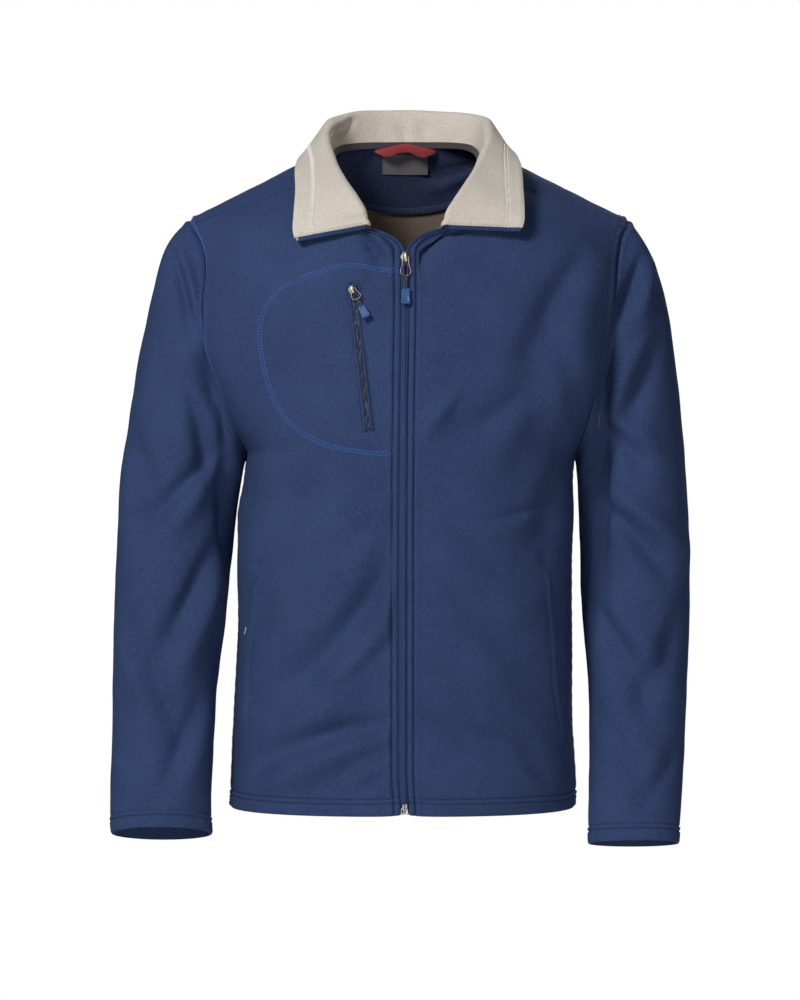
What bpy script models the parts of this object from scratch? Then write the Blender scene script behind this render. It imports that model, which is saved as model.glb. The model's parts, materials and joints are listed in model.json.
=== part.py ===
"""Fleece zip jacket, size M, filled out as if worn, with its collar turned down.

Metres, +Z up. The front faces -Y, the wearer's right is -X. The origin is the middle of the neck,
level with the high points of the two shoulders, where a wearer carries the jacket.
Every cloth piece is a wall on a grid of points: rows run up the garment, columns run away from the
middle. Pieces that are sewn together share the points of their seam.
"""

import bpy
import bmesh
import numpy as np
from math import radians
from mathutils import Matrix, Vector
from mathutils.bvhtree import BVHTree

FLEECE = 0.0022  # wall of the body and the sleeves
COLLAR_LAYER = 0.0017  # each of the collar's two layers
SEAM_GAP = 0.0003  # between two pieces sewn together, and between a piece and what lies on it
HEM_RAISE = 0.0007  # how far the doubled cloth of a hem or cuff stands out
NECK_TAPE_HEIGHT = 0.007
TAPE_DROP = 0.006  # how far the neck tape reaches below the neck seam
THIN = 0.0008  # neck tape and label
TWILL = 0.0012  # hanger loop
CHAIN_WIDTH = 0.0037  # one half of the closed zip
CHAIN_SINK = 0.0002  # how far the closed zip lies behind the fronts' edges
CHAIN_DEPTH = 0.0018
TAPE_WIDTH = 0.009
TAPE_THICKNESS = 0.0006

# The tube below the armholes. side_y is the side seam's depth.
TORSO = """
z       front_y  back_y  right_x  left_x  side_y
-0.7060 -0.1280  0.1180  0.1885   0.1815  0.006
-0.6860 -0.1280  0.1190  0.1880   0.1830  0.006
-0.6100 -0.1290  0.1190  0.1852   0.1795  0.006
-0.5020 -0.1320  0.1150  0.1798   0.1785  0.006
-0.4400 -0.1350  0.1170  0.1792   0.1785  0.005
-0.3960 -0.1370  0.1210  0.1800   0.1795  0.003
-0.3560 -0.1380  0.1250  0.1735   0.1790  0.001
-0.3250 -0.1380  0.1280  0.1700   0.1820  0.000
"""

# Each row of a front above the underarm: its middle end on the zip, the open neck edge or the neck
# seam, and its side end on the armhole. flat is 0 for a round row and 1 for a straight one.
FRONT_YOKE = """
mid_x   mid_y    mid_z    right_x  left_x  side_y   side_z   flat
0.0042  -0.1380  -0.3250  0.1700   0.1820   0.0000  -0.3250  0.00
0.0042  -0.1365  -0.2720  0.1830   0.1915  -0.0360  -0.2960  0.00
0.0042  -0.1330  -0.2200  0.1990   0.2030  -0.0560  -0.2530  0.05
0.0042  -0.1240  -0.1660  0.2130   0.2150  -0.0600  -0.2080  0.12
0.0048  -0.1105  -0.1165  0.2150   0.2215  -0.0570  -0.1690  0.22
0.0140  -0.1070  -0.1030  0.2130   0.2240  -0.0500  -0.1440  0.30
0.0385  -0.1025  -0.0915  0.2135   0.2255  -0.0420  -0.1240  0.38
0.0490  -0.0965  -0.0790  0.2170   0.2285  -0.0330  -0.1070  0.50
0.0620  -0.0840  -0.0620  0.2225   0.2320  -0.0240  -0.0935  0.65
0.0735  -0.0620  -0.0440  0.2285   0.2370  -0.0180  -0.0840  0.82
0.0800  -0.0350  -0.0270  0.2320   0.2400  -0.0140  -0.0785  1.00
"""
FRONT_NECK_ROW = 6  # the row whose middle end is the front end of the neck seam

# The same for half of the back: up the middle to the neck, then round the neck and over the shoulder.
BACK_YOKE = """
mid_x   mid_y    mid_z    right_x  left_x  side_y   side_z   flat
0.0000   0.1280  -0.3250  0.1700   0.1820   0.0000  -0.3250  0.00
0.0000   0.1310  -0.2650  0.1800   0.1890   0.0380  -0.2950  0.00
0.0000   0.1300  -0.1900  0.1950   0.2010   0.0600  -0.2400  0.05
0.0000   0.1180  -0.1000  0.2060   0.2130   0.0640  -0.1800  0.12
0.0000   0.0800   0.0165  0.2140   0.2220   0.0560  -0.1300  0.25
0.0240   0.0776   0.0162  0.2182   0.2262   0.0472  -0.1115  0.37
0.0450   0.0700   0.0150  0.2220   0.2300   0.0380  -0.0960  0.50
0.0740   0.0420   0.0090  0.2290   0.2370   0.0200  -0.0780  0.76
0.0830   0.0030  -0.0035  0.2330   0.2410   0.0020  -0.0725  0.93
0.0800  -0.0350  -0.0270  0.2320   0.2400  -0.0140  -0.0785  1.00
"""
BACK_NECK_ROW = 4
FALL_BOW = 0.0008  # how far the collar's fall bows outward

# The collar, from its front end round to the middle of the back: the crest of its roll and its free
# edge, both on the beige face. Its seam is the neck end of the rows above.
COLLAR = """
right_roll  left_roll  roll_y   roll_z   right_edge  left_edge  edge_y   right_edge_z  left_edge_z  radius
0.0430      0.0440     -0.1120  -0.0880  0.1170      0.1225     -0.1040  -0.1010       -0.0905      0.0052
0.0440      0.0450     -0.1120  -0.0745  0.1190      0.1248     -0.1010  -0.0900       -0.0800      0.0055
0.0520      0.0530     -0.1035  -0.0590  0.1180      0.1250     -0.0930  -0.0720       -0.0650      0.0058
0.0650      0.0670     -0.0840  -0.0390  0.1170      0.1245     -0.0750  -0.0490       -0.0450      0.0060
0.0780      0.0820     -0.0480  -0.0130  0.1185      0.1240     -0.0430  -0.0240       -0.0210      0.0062
0.0870      0.0930     -0.0060   0.0170  0.1190      0.1215     -0.0020  -0.0100       -0.0060      0.0064
0.0840      0.0930      0.0380   0.0390  0.1110      0.1180      0.0500   0.0010        0.0030      0.0066
0.0540      0.0590      0.0760   0.0520  0.0680      0.0730      0.0940   0.0110        0.0110      0.0068
0.0280      0.0300      0.0850   0.0542  0.0360      0.0390      0.1055   0.0140        0.0140      0.0069
0.0000      0.0000      0.0880   0.0550  0.0000      0.0000      0.1090   0.0150        0.0150      0.0070
"""

# Sleeve rings from the armhole to the cuff: the outer and the inner edge seen from the front, the
# ring's middle and half depth from front to back, and how far it leans, in degrees, front edge up.
SLEEVES = {
    "right": """
out_x   out_z    in_x    in_z     mid_y    depth   lean
0.2335  -0.0725  0.1700  -0.3250   0.0010  0.0600   0
0.2510  -0.0905  0.1735  -0.3365   0.0010  0.0600   0
0.2610  -0.1080  0.1757  -0.3460   0.0020  0.0605   0
0.2690  -0.1340  0.1778  -0.3570   0.0040  0.0615   0
0.2800  -0.1820  0.1800  -0.3710   0.0070  0.0630   0
0.2885  -0.2195  0.1818  -0.3850   0.0090  0.0645   0
0.2975  -0.2800  0.1838  -0.4020   0.0100  0.0655   1
0.3045  -0.3306  0.1856  -0.4240   0.0090  0.0655   3
0.3100  -0.3975  0.1890  -0.4550   0.0060  0.0640   6
0.3135  -0.4750  0.1935  -0.5000  -0.0010  0.0600  10
0.3155  -0.5920  0.2030  -0.5920  -0.0180  0.0500  14
0.3150  -0.7110  0.2070  -0.7110  -0.0400  0.0370  16
0.3135  -0.7316  0.2065  -0.7316  -0.0445  0.0350  17
""",
    "left": """
out_x   out_z    in_x    in_z     mid_y    depth   lean
0.2415  -0.0725  0.1820  -0.3250   0.0010  0.0600   0
0.2565  -0.0950  0.1840  -0.3370   0.0010  0.0600   0
0.2650  -0.1120  0.1850  -0.3470   0.0020  0.0605   0
0.2770  -0.1450  0.1858  -0.3590   0.0040  0.0615   0
0.2865  -0.1825  0.1862  -0.3720   0.0070  0.0630   0
0.2916  -0.2270  0.1864  -0.3860   0.0090  0.0645   0
0.2975  -0.2810  0.1868  -0.4060   0.0100  0.0650   1
0.3030  -0.3306  0.1878  -0.4280   0.0090  0.0645   3
0.3057  -0.3975  0.1888  -0.4600   0.0060  0.0630   6
0.3070  -0.4700  0.1910  -0.5000  -0.0010  0.0590   9
0.3015  -0.6100  0.1965  -0.6050  -0.0190  0.0470  11
0.2930  -0.7220  0.1955  -0.7220  -0.0380  0.0350  12
0.2912  -0.7425  0.1950  -0.7425  -0.0420  0.0335  12
""",
}

# The largest folds, seen from the front or the back: the ends of each trough's line, how deep it is
# and how wide. A negative depth is a ridge.
FOLDS = {
    "front_right": """
x0      z0      x1      z1      depth   width
-0.030  -0.452  -0.150  -0.592  0.0035  0.020
-0.028  -0.606  -0.150  -0.672  0.0030  0.016
-0.060  -0.530  -0.165  -0.640  -0.0020  0.018
-0.050  -0.330  -0.160  -0.390  0.0022  0.022
""",
    "front_left": """
x0      z0      x1      z1      depth   width
0.185   -0.130  0.128   -0.265  0.0040  0.022
0.150   -0.270  0.040   -0.290  0.0022  0.020
0.060   -0.262  0.022   -0.300  -0.0018  0.012
0.060   -0.470  0.150   -0.600  0.0025  0.022
0.040   -0.600  0.140   -0.660  0.0020  0.018
""",
    "back": """
x0      z0      x1      z1      depth   width
-0.150  -0.420  0.020   -0.500  0.0035  0.022
0.155   -0.400  -0.030  -0.560  0.0032  0.024
-0.140  -0.560  0.060   -0.640  0.0026  0.020
0.120   -0.190  0.160   -0.330  0.0035  0.020
-0.110  -0.180  -0.155  -0.320  0.0035  0.020
""",
    "sleeve_right": """
x0      z0      x1      z1      depth   width
-0.255  -0.110  -0.232  -0.210  0.0030  0.014
-0.215  -0.330  -0.285  -0.400  0.0045  0.016
-0.210  -0.430  -0.270  -0.560  0.0035  0.018
-0.290  -0.520  -0.235  -0.640  0.0025  0.016
""",
    "sleeve_left": """
x0      z0      x1      z1      depth   width
0.250   -0.125  0.226   -0.200  0.0045  0.014
0.262   -0.230  0.215   -0.340  0.0035  0.018
0.215   -0.390  0.280   -0.460  0.0040  0.018
0.205   -0.500  0.265   -0.610  0.0030  0.018
""",
}

NAVY = (0.028, 0.050, 0.125)
NAVY_DARK = (0.020, 0.030, 0.075)
BEIGE = (0.62, 0.57, 0.50)
TAUPE = (0.14, 0.12, 0.11)
RED = (0.34, 0.045, 0.05)
CHARCOAL = (0.06, 0.055, 0.065)
NICKEL = (0.42, 0.39, 0.35)
TAB_BLUE = (0.05, 0.13, 0.38)
TAPE_BLUE = (0.035, 0.065, 0.13)


def table(text):
    """The columns of a text table by name, as arrays."""
    head, *rows = [line.split() for line in text.strip().splitlines()]
    values = np.array([[float(cell) for cell in row] for row in rows])
    return {name: values[:, n] for n, name in enumerate(head)}


def smooth(values, at):
    """Reads a column at fractional rows, through its values without overshoot."""
    values = np.asarray(values, float)
    rise = np.diff(values)
    slope = np.zeros(len(values))
    same = rise[:-1] * rise[1:] > 0
    total = np.where(same, rise[:-1] + rise[1:], 1.0)
    slope[1:-1] = np.where(same, 2 * rise[:-1] * rise[1:] / total, 0.0)
    slope[0], slope[-1] = rise[0], rise[-1]
    at = np.clip(np.asarray(at, float), 0, len(values) - 1)
    row = np.minimum(at.astype(int), len(values) - 2)
    t = at - row
    return (
        values[row] * (1 + 2 * t) * (1 - t) ** 2
        + slope[row] * t * (1 - t) ** 2
        + values[row + 1] * t**2 * (3 - 2 * t)
        + slope[row + 1] * t**2 * (t - 1)
    )


def unit(v):
    return v / np.maximum(np.linalg.norm(v, axis=-1, keepdims=True), 1e-12)


def half_panel(middle, side, flat, columns, fullness):
    """Rows of points from the middle ends to the side ends, round where flat is 0."""
    u = np.linspace(0, 1, columns)[None, :, None]
    m, s, flat = middle[:, None, :], side[:, None, :], flat[:, None, None]
    handle_m, handle_s = m.copy(), s.copy()
    handle_m[..., 0] += fullness * (s - m)[..., 0]
    handle_s[..., 1] += fullness * (m - s)[..., 1]
    handle_s[..., 2] += fullness * 0.3 * (m - s)[..., 2]
    curve = (
        m * (1 - u) ** 3
        + 3 * handle_m * u * (1 - u) ** 2
        + 3 * handle_s * u**2 * (1 - u)
        + s * u**3
    )
    return curve * (1 - flat) + (m + (s - m) * u) * flat


FULLNESS = 0.66  # of a row's corner: 0.55 is an ellipse
TORSO_AT = np.array([0, 1, 1.12, 1.6, 2, 2.5, 3, 3.5, 4, 5, 6, 7])
FRONT_AT = np.array([0, 0.5, 1, 1.5, 2, 3, 4, 5, 6, 6.5, 7, 7.5, 8, 8.5, 9, 9.5, 10])
BACK_AT = np.array([0, 0.5, 1, 1.5, 2, 2.5, 3, 3.5, 4, 5, 6, 6.5, 7, 7.5, 8, 8.5, 9])
FRONT_COLUMNS = 13
BACK_COLUMNS = 11
SLEEVE_AT = np.array([0, 1, 2, 3, 4, 5, 6, 7, 8, 8.5, 9, 9.33, 9.67, 10, 10.5, 10.93, 11.05, 12])


def panel_points(kind, side, columns):
    """The outer points of a front, or of half of the back, on one side."""
    sign = -1 if side == "right" else 1
    low = table(TORSO)
    high = table(FRONT_YOKE if kind == "front" else BACK_YOKE)
    high_at = (FRONT_AT if kind == "front" else BACK_AT)[1:]
    edge_x = high["mid_x"][0]
    low_z = smooth(low["z"], TORSO_AT)
    low_mid = np.stack(
        [np.full(len(TORSO_AT), edge_x), smooth(low[kind + "_y"], TORSO_AT), low_z], axis=1
    )
    low_side = np.stack(
        [smooth(low[side + "_x"], TORSO_AT), smooth(low["side_y"], TORSO_AT), low_z], axis=1
    )
    high_mid = np.stack([smooth(high[c], high_at) for c in ("mid_x", "mid_y", "mid_z")], axis=1)
    high_side = np.stack([smooth(high[c], high_at) for c in (side + "_x", "side_y", "side_z")], axis=1)
    flat = np.concatenate([np.zeros(len(TORSO_AT)), smooth(high["flat"], high_at)])
    points = half_panel(
        np.vstack([low_mid, high_mid]), np.vstack([low_side, high_side]), flat, columns, FULLNESS
    )
    points[..., 0] *= sign
    return points


def sleeve_points(side, armhole):
    """Rings of points from the armhole's seam to the cuff."""
    sign = -1 if side == "right" else 1
    t = table(SLEEVES[side])
    col = {name: smooth(values, SLEEVE_AT) for name, values in t.items()}
    outer = np.stack([sign * col["out_x"], col["mid_y"], col["out_z"]], axis=1)
    inner = np.stack([sign * col["in_x"], col["mid_y"], col["in_z"]], axis=1)
    centre, reach = (outer + inner) / 2, (outer - inner) / 2
    lean = np.radians(col["lean"])
    front = np.stack([0 * lean, -np.cos(lean), np.sin(lean)], axis=1) * col["depth"][:, None]
    from_centre = armhole - centre[0]
    along = from_centre @ reach[0] / (reach[0] @ reach[0])
    across = from_centre @ front[0] / (front[0] @ front[0])
    start = np.unwrap(np.arctan2(across, along))
    even = start[0] + np.arange(len(start)) * (2 * np.pi / len(start)) * np.sign(start[-1] - start[0])
    ease = np.clip(SLEEVE_AT / 6, 0, 1)[:, None]
    angle = start[None, :] * (1 - ease) + even[None, :] * ease
    rings = (
        centre[:, None, :]
        + np.cos(angle)[..., None] * reach[:, None, :]
        + np.sin(angle)[..., None] * front[:, None, :]
    )
    rings[0] = armhole
    return rings


def fold_depth(points, rows):
    """How far the folds sink each point, from where it lies in the front view."""
    depth = np.zeros(points.shape[:-1])
    flat = points[..., [0, 2]]
    for x0, z0, x1, z1, deep, width in rows:
        start, line = np.array([x0, z0]), np.array([x1 - x0, z1 - z0])
        along = np.clip((flat - start) @ line / (line @ line), 0, 1)
        away = np.linalg.norm(flat - start - along[..., None] * line, axis=-1)
        taper = np.sin(np.pi * np.clip(0.12 + 0.76 * along, 0, 1))
        depth += deep * taper * np.exp(-((away / width) ** 2))
    return depth


def grid_normals(points, wrap=False):
    """Outward normals of a grid, with its columns joined in a ring if wrap is true."""
    across = np.gradient(points, axis=1)
    if wrap:
        across = (np.roll(points, -1, axis=1) - np.roll(points, 1, axis=1)) / 2
    return unit(np.cross(across, np.gradient(points, axis=0)))


def material(name, colour, roughness=0.9, metallic=0.0):
    mat = bpy.data.materials.get(name)
    if mat is None:
        mat = bpy.data.materials.new(name)
        mat.use_nodes = True
        shader = mat.node_tree.nodes["Principled BSDF"]
        shader.inputs["Base Color"].default_value = (*colour, 1)
        shader.inputs["Roughness"].default_value = roughness
        shader.inputs["Metallic"].default_value = metallic
    return mat


def add_object(name, bm, mat, angle=40):
    bmesh.ops.recalc_face_normals(bm, faces=bm.faces)
    mesh = bpy.data.meshes.new(name)
    bm.to_mesh(mesh)
    bm.free()
    mesh.materials.append(mat)
    mesh.shade_smooth()
    mesh.set_sharp_from_angle(angle=radians(angle))
    obj = bpy.data.objects.new(name, mesh)
    bpy.context.scene.collection.objects.link(obj)
    return obj


def wall_faces(bm, outer, inner, wrap=False, joined=0):
    """Faces of a wall between two grids. The first column's lowest joined rows get no rim."""
    rows, columns = outer.shape[:2]
    sheets = [[bm.verts.new(p) for p in grid.reshape(-1, 3)] for grid in (outer, inner)]
    corner = np.arange(rows * columns).reshape(rows, columns)
    if wrap:
        corner = np.hstack([corner, corner[:, :1]])

    def quads(low, high, first, second):
        for a, b, c, d in zip(low[:-1], low[1:], high[1:], high[:-1]):
            bm.faces.new((first[a], first[b], second[c]))
            bm.faces.new((first[a], second[c], second[d]))

    for sheet in sheets:
        for low, high in zip(corner[:-1], corner[1:]):
            quads(low, high, sheet, sheet)
    rims = [corner[0], corner[-1]]
    if not wrap:
        rims += [corner[joined:, 0], corner[:, -1]]
    for rim in rims:
        quads(rim, rim, sheets[0], sheets[1])


def wall(name, outer, inner, mat, wrap=False):
    """A closed solid between two grids of the same size."""
    bm = bmesh.new()
    wall_faces(bm, outer, inner, wrap)
    return add_object(name, bm, mat)


for old in list(bpy.data.objects):
    bpy.data.objects.remove(old, do_unlink=True)

# ---- body and sleeves ----------------------------------------------------------------------

FIRST_YOKE_ROW = len(TORSO_AT) - 1
NECK_ROW = {
    "front": FIRST_YOKE_ROW + int(np.argmax(FRONT_AT == FRONT_NECK_ROW)),
    "back": FIRST_YOKE_ROW + int(np.argmax(BACK_AT == BACK_NECK_ROW)),
}
grids = {}
for side in ("right", "left"):
    front = panel_points("front", side, FRONT_COLUMNS)
    back = panel_points("back", side, BACK_COLUMNS)
    armhole = np.vstack([front[FIRST_YOKE_ROW:, -1], back[FIRST_YOKE_ROW:, -1][-2:0:-1]])
    grids["front_" + side] = front
    grids["back_" + side] = back
    grids["sleeve_" + side] = sleeve_points(side, armhole)


def is_sleeve(name):
    return name.startswith("sleeve")


def joined_rows(name):
    """The rows of half a back that run on into the other half, below the neck."""
    return NECK_ROW["back"] if name.startswith("back") else 0


TORSO_CENTRE = np.array([0.0, 0.0, -0.35])
normals = {}
for name, points in grids.items():
    n = grid_normals(points, is_sleeve(name))
    centre = points.mean(axis=1, keepdims=True) if is_sleeve(name) else TORSO_CENTRE
    if ((points - centre) * n).sum() < 0:
        n = -n
    if joined_rows(name):
        n[: joined_rows(name) + 1, 0, 0] = 0
    normals[name] = unit(n)

for name, points in grids.items():
    folds = table(FOLDS["back" if name.startswith("back") else name])
    depth = fold_depth(points, np.stack(list(folds.values()), axis=1))
    count = np.arange(len(points))
    depth *= (np.minimum(np.minimum(count, count[::-1]), 2) / 2)[:, None]
    if is_sleeve(name):
        depth *= np.abs(np.clip(-2 * normals[name][..., 1], -0.7, 1))
    else:
        count = np.arange(points.shape[1])
        depth *= (np.minimum(count[::-1], 2) / 2)[None, :]
        if name.startswith("front"):
            depth *= (np.minimum(count, 2) / 2)[None, :]
    grids[name] = points - normals[name] * depth[..., None]

# Points on a seam take a normal that leans to their neighbour's, so that the walls meet in a mitre.
shared = {}
for name, points in grids.items():
    for index in np.ndindex(points.shape[:2]):
        shared.setdefault(tuple(np.round(points[index], 6) + 0.0), []).append((name, index))
own = {name: n.copy() for name, n in normals.items()}
for places in shared.values():
    for name, index in places if len(places) > 1 else ():
        total = own[name][index].copy()
        for other, at in places:
            if (other, at) != (name, index):
                likeness = own[name][index] @ own[other][at]
                total += own[other][at] * min(max(likeness + 0.5, 0), 1)
        normals[name][index] = unit(total)


def pull_back(points, wrap, joined, by):
    """Draws the sewn and open borders of a grid back into it."""
    out = points.copy()
    out[0] += unit(points[1] - points[0]) * by
    out[-1] += unit(points[-2] - points[-1]) * by
    if not wrap:
        out[:, -1] += unit(points[:, -2] - points[:, -1]) * by
        first = joined + 1 if joined else 0
        out[first:, 0] += unit(points[first:, 1] - points[first:, 0]) * by
        if joined:
            out[joined, 0] += unit(points[joined - 1, 0] - points[joined, 0]) * by
    return out


fleece = material("fleece_navy", NAVY)
seams = dict(grids)
inner_grids = {}
for name, points in seams.items():
    wrap, joined = is_sleeve(name), joined_rows(name)
    outer = points.copy()
    hem = slice(-2, None) if wrap else slice(0, 2)
    outer[hem] += normals[name][hem] * HEM_RAISE
    grids[name] = pull_back(outer, wrap, joined, SEAM_GAP * 0.6)
    inner_grids[name] = pull_back(points - normals[name] * FLEECE, wrap, joined, SEAM_GAP * 2)
    if not joined:
        wall(name, grids[name], inner_grids[name], fleece, wrap)

bm = bmesh.new()
for name in ("back_right", "back_left"):
    wall_faces(bm, grids[name], inner_grids[name], joined=joined_rows(name))
bmesh.ops.remove_doubles(bm, verts=bm.verts, dist=1e-6)
add_object("back", bm, fleece)

# ---- collar --------------------------------------------------------------------------------

FRONT_SAMPLES = FRONT_AT[FRONT_AT >= FRONT_NECK_ROW] - FRONT_NECK_ROW
SHOULDER_SEAM = FRONT_SAMPLES[-1]
NECK_SAMPLES = np.concatenate([FRONT_SAMPLES, [4.5, 5, 5.5, 6, 6.5, 7, 8, 9]])


def collar_points():
    """The beige surface from the neck seam over the roll to the free edge, right end to left end."""
    t = table(COLLAR)
    radius = smooth(t["radius"], NECK_SAMPLES)[:, None]
    halves = []
    for side, sign in (("right", -1), ("left", 1)):
        front_seam = seams["front_" + side][NECK_ROW["front"] :, 0]
        back_seam = seams["back_" + side][NECK_ROW["back"] : -1, 0]
        seam = np.vstack([front_seam, back_seam[::-1]])
        roll_columns = (sign * t[side + "_roll"], t["roll_y"], t["roll_z"])
        edge_columns = (sign * t[side + "_edge"], t["edge_y"], t[side + "_edge_z"])
        roll = np.stack([smooth(c, NECK_SAMPLES) for c in roll_columns], axis=1)
        edge = np.stack([smooth(c, NECK_SAMPLES) for c in edge_columns], axis=1)
        up, down = unit(roll - seam), unit(edge - roll)
        out = unit(down - (down * up).sum(axis=1, keepdims=True) * up)
        start = seam - out * (2 * COLLAR_LAYER + SEAM_GAP) + up * SEAM_GAP
        centre = roll - up * radius
        turn_in, turn_out = centre - out * radius, centre + out * radius
        diagonal = radius * 0.5**0.5
        fall = edge - turn_out
        half = [
            start,
            (start + turn_in) / 2,
            turn_in,
            centre + (up - out) * diagonal,
            roll,
            centre + (up + out) * diagonal,
            turn_out,
            turn_out + fall / 3 + out * FALL_BOW,
            turn_out + fall * 2 / 3 + out * FALL_BOW,
            edge,
        ]
        halves.append(np.stack(half, axis=1))
    return np.concatenate([halves[0], halves[1][-2::-1]])


beige_top = collar_points()
collar_normals = grid_normals(beige_top)
middle = len(beige_top) // 2
if collar_normals[middle, 0, 1] > 0:
    collar_normals = -collar_normals
depths = [0, COLLAR_LAYER, COLLAR_LAYER + SEAM_GAP, 2 * COLLAR_LAYER + SEAM_GAP]
beige, beige_under, navy_top, navy_under = (beige_top - collar_normals * d for d in depths)
wall("collar_facing", beige, beige_under, material("fleece_beige", BEIGE))
wall("collar_outer", navy_top, navy_under, fleece)

# ---- inside the back neck ------------------------------------------------------------------


def tree(*sheets):
    """A search tree on the triangles of some grids."""
    points, faces = [], []
    for sheet in sheets:
        rows, columns = sheet.shape[:2]
        for i in range(rows - 1):
            for j in range(columns - 1):
                a = len(points) + i * columns + j
                faces += [(a, a + 1, a + columns + 1), (a, a + columns + 1, a + columns)]
        points += [Vector(p) for p in sheet.reshape(-1, 3)]
    return BVHTree.FromPolygons(points, faces)


def on_surface(search, x, z, from_y, lift):
    """The points of a grid of x and z laid on a surface and moved off it, with their normals."""
    towards = Vector((0, -1 if from_y > 0 else 1, 0))
    points, facing = np.zeros(x.shape + (3,)), np.zeros(x.shape + (3,))
    for index in np.ndindex(x.shape):
        place, normal, _, _ = search.ray_cast(Vector((x[index], from_y, z[index])), towards)
        if place is None:
            place, normal, _, _ = search.find_nearest(Vector((x[index], from_y, z[index])))
        if normal.dot(towards) > 0:
            normal = -normal
        points[index], facing[index] = place, normal
    for axis in (0, 1):
        smoothed = facing.copy()
        inside = [slice(None)] * 3
        for shift in (-1, 1):
            inside[axis] = slice(1, -1)
            smoothed[tuple(inside)] += np.roll(facing, shift, axis=axis)[tuple(inside)]
        facing = unit(smoothed)
    return points + facing * lift, facing


inside_back = tree(inner_grids["back_right"], inner_grids["back_left"])
YOKE_HALF_WIDTH = 0.072
YOKE_DEPTH = 0.063
YOKE_THICKNESS = 0.0010
YOKE_TOP, YOKE_TOP_DROP = 0.0112, 0.0105  # its top edge at the middle, and how far it falls to its ends
yoke_s = np.linspace(-1, 1, 15)
yoke_t = np.linspace(0, 1, 6)[:, None]
yoke_x = np.broadcast_to(yoke_s * YOKE_HALF_WIDTH, (6, 15)).copy()
yoke_top = YOKE_TOP - YOKE_TOP_DROP * yoke_s**2
yoke_bottom = yoke_top - YOKE_DEPTH * (1 - yoke_s**2) ** 0.32 - 0.006
yoke_z = yoke_top * (1 - yoke_t) + yoke_bottom * yoke_t
yoke_far, yoke_facing = on_surface(inside_back, yoke_x, yoke_z, 0.0, SEAM_GAP)
wall("back_neck_yoke", yoke_far + yoke_facing * YOKE_THICKNESS, yoke_far, fleece)

tape_from = int(np.argmax(NECK_SAMPLES > SHOULDER_SEAM))
tape_stations = slice(tape_from, len(beige) - tape_from)
stand_up = unit(beige_top[tape_stations, 1] - beige_top[tape_stations, 0])
seam_line = beige_top[tape_stations, 0] + collar_normals[tape_stations, 0] * SEAM_GAP * 1.5
tape_rows = (-TAPE_DROP, NECK_TAPE_HEIGHT - TAPE_DROP)
tape_far = np.stack([seam_line + stand_up * rise for rise in tape_rows])
tape_facing = np.stack([collar_normals[tape_stations, 0]] * 2)
wall("neck_tape", tape_far + tape_facing * THIN, tape_far, material("twill_taupe", TAUPE))

LABEL_RIGHT, LABEL_LEFT, LABEL_TOP, LABEL_BOTTOM = -0.0257, 0.0249, 0.0062, -0.0162
label_x, label_z = np.meshgrid(
    np.linspace(LABEL_RIGHT, LABEL_LEFT, 7), np.linspace(LABEL_TOP, LABEL_BOTTOM, 4)
)
label_far, label_facing = on_surface(
    inside_back, label_x, label_z, 0.0, SEAM_GAP * 2 + YOKE_THICKNESS
)
wall("neck_label", label_far + label_facing * THIN, label_far, material("satin_charcoal", CHARCOAL))

LOOP_REACH = 0.0345  # half of what it spans
LOOP_BOW = 0.0124  # how far its middle stands off the back
LOOP_RISE = 0.0068  # of its middle above its ends
LOOP_WIDTH = 0.0074
LOOP_END_Z = 0.0050
LOOP_CLEAR = 0.0020  # of its ends over the yoke
loop_s = np.linspace(-1, 1, 17)
loop_x = np.stack([loop_s * LOOP_REACH] * 2)
loop_arch = 1 - loop_s**2
loop_mid = LOOP_END_Z + LOOP_RISE * loop_arch
loop_top_z = np.full_like(loop_x, LOOP_END_Z + LOOP_WIDTH / 2)
loop_face, _ = on_surface(inside_back, loop_x, loop_top_z, 0.0, YOKE_THICKNESS + LOOP_CLEAR)
loop_face[..., 1] -= LOOP_BOW * loop_arch**0.5
loop_face[0, :, 2] = loop_mid + LOOP_WIDTH / 2
loop_face[1, :, 2] = loop_mid - LOOP_WIDTH / 2
loop_along = np.gradient(loop_face[0], axis=0)
loop_out = unit(np.stack([loop_along[:, 1], -loop_along[:, 0], 0 * loop_s], axis=1))
wall("hang_loop", loop_face + loop_out * TWILL, loop_face, material("twill_red", RED))

# ---- front zip -----------------------------------------------------------------------------

tape_blue = material("zip_tape_blue", TAPE_BLUE, 0.7)
nickel = material("nickel", NICKEL, 0.3, 1.0)
CHAIN_TOP_ROW = NECK_ROW["front"]


def ribbon(name, rings, mat):
    """A closed solid swept through rings of the same number of points, with flat ends."""
    bm = bmesh.new()
    loops = [[bm.verts.new(p) for p in ring] for ring in rings]
    for a, b in zip(loops, loops[1:]):
        for k in range(len(a)):
            n = (k + 1) % len(a)
            bm.faces.new((a[k], a[n], b[n]))
            bm.faces.new((a[k], b[n], b[k]))
    bm.faces.new(loops[0][::-1])
    bm.faces.new(loops[-1])
    return add_object(name, bm, mat)


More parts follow.
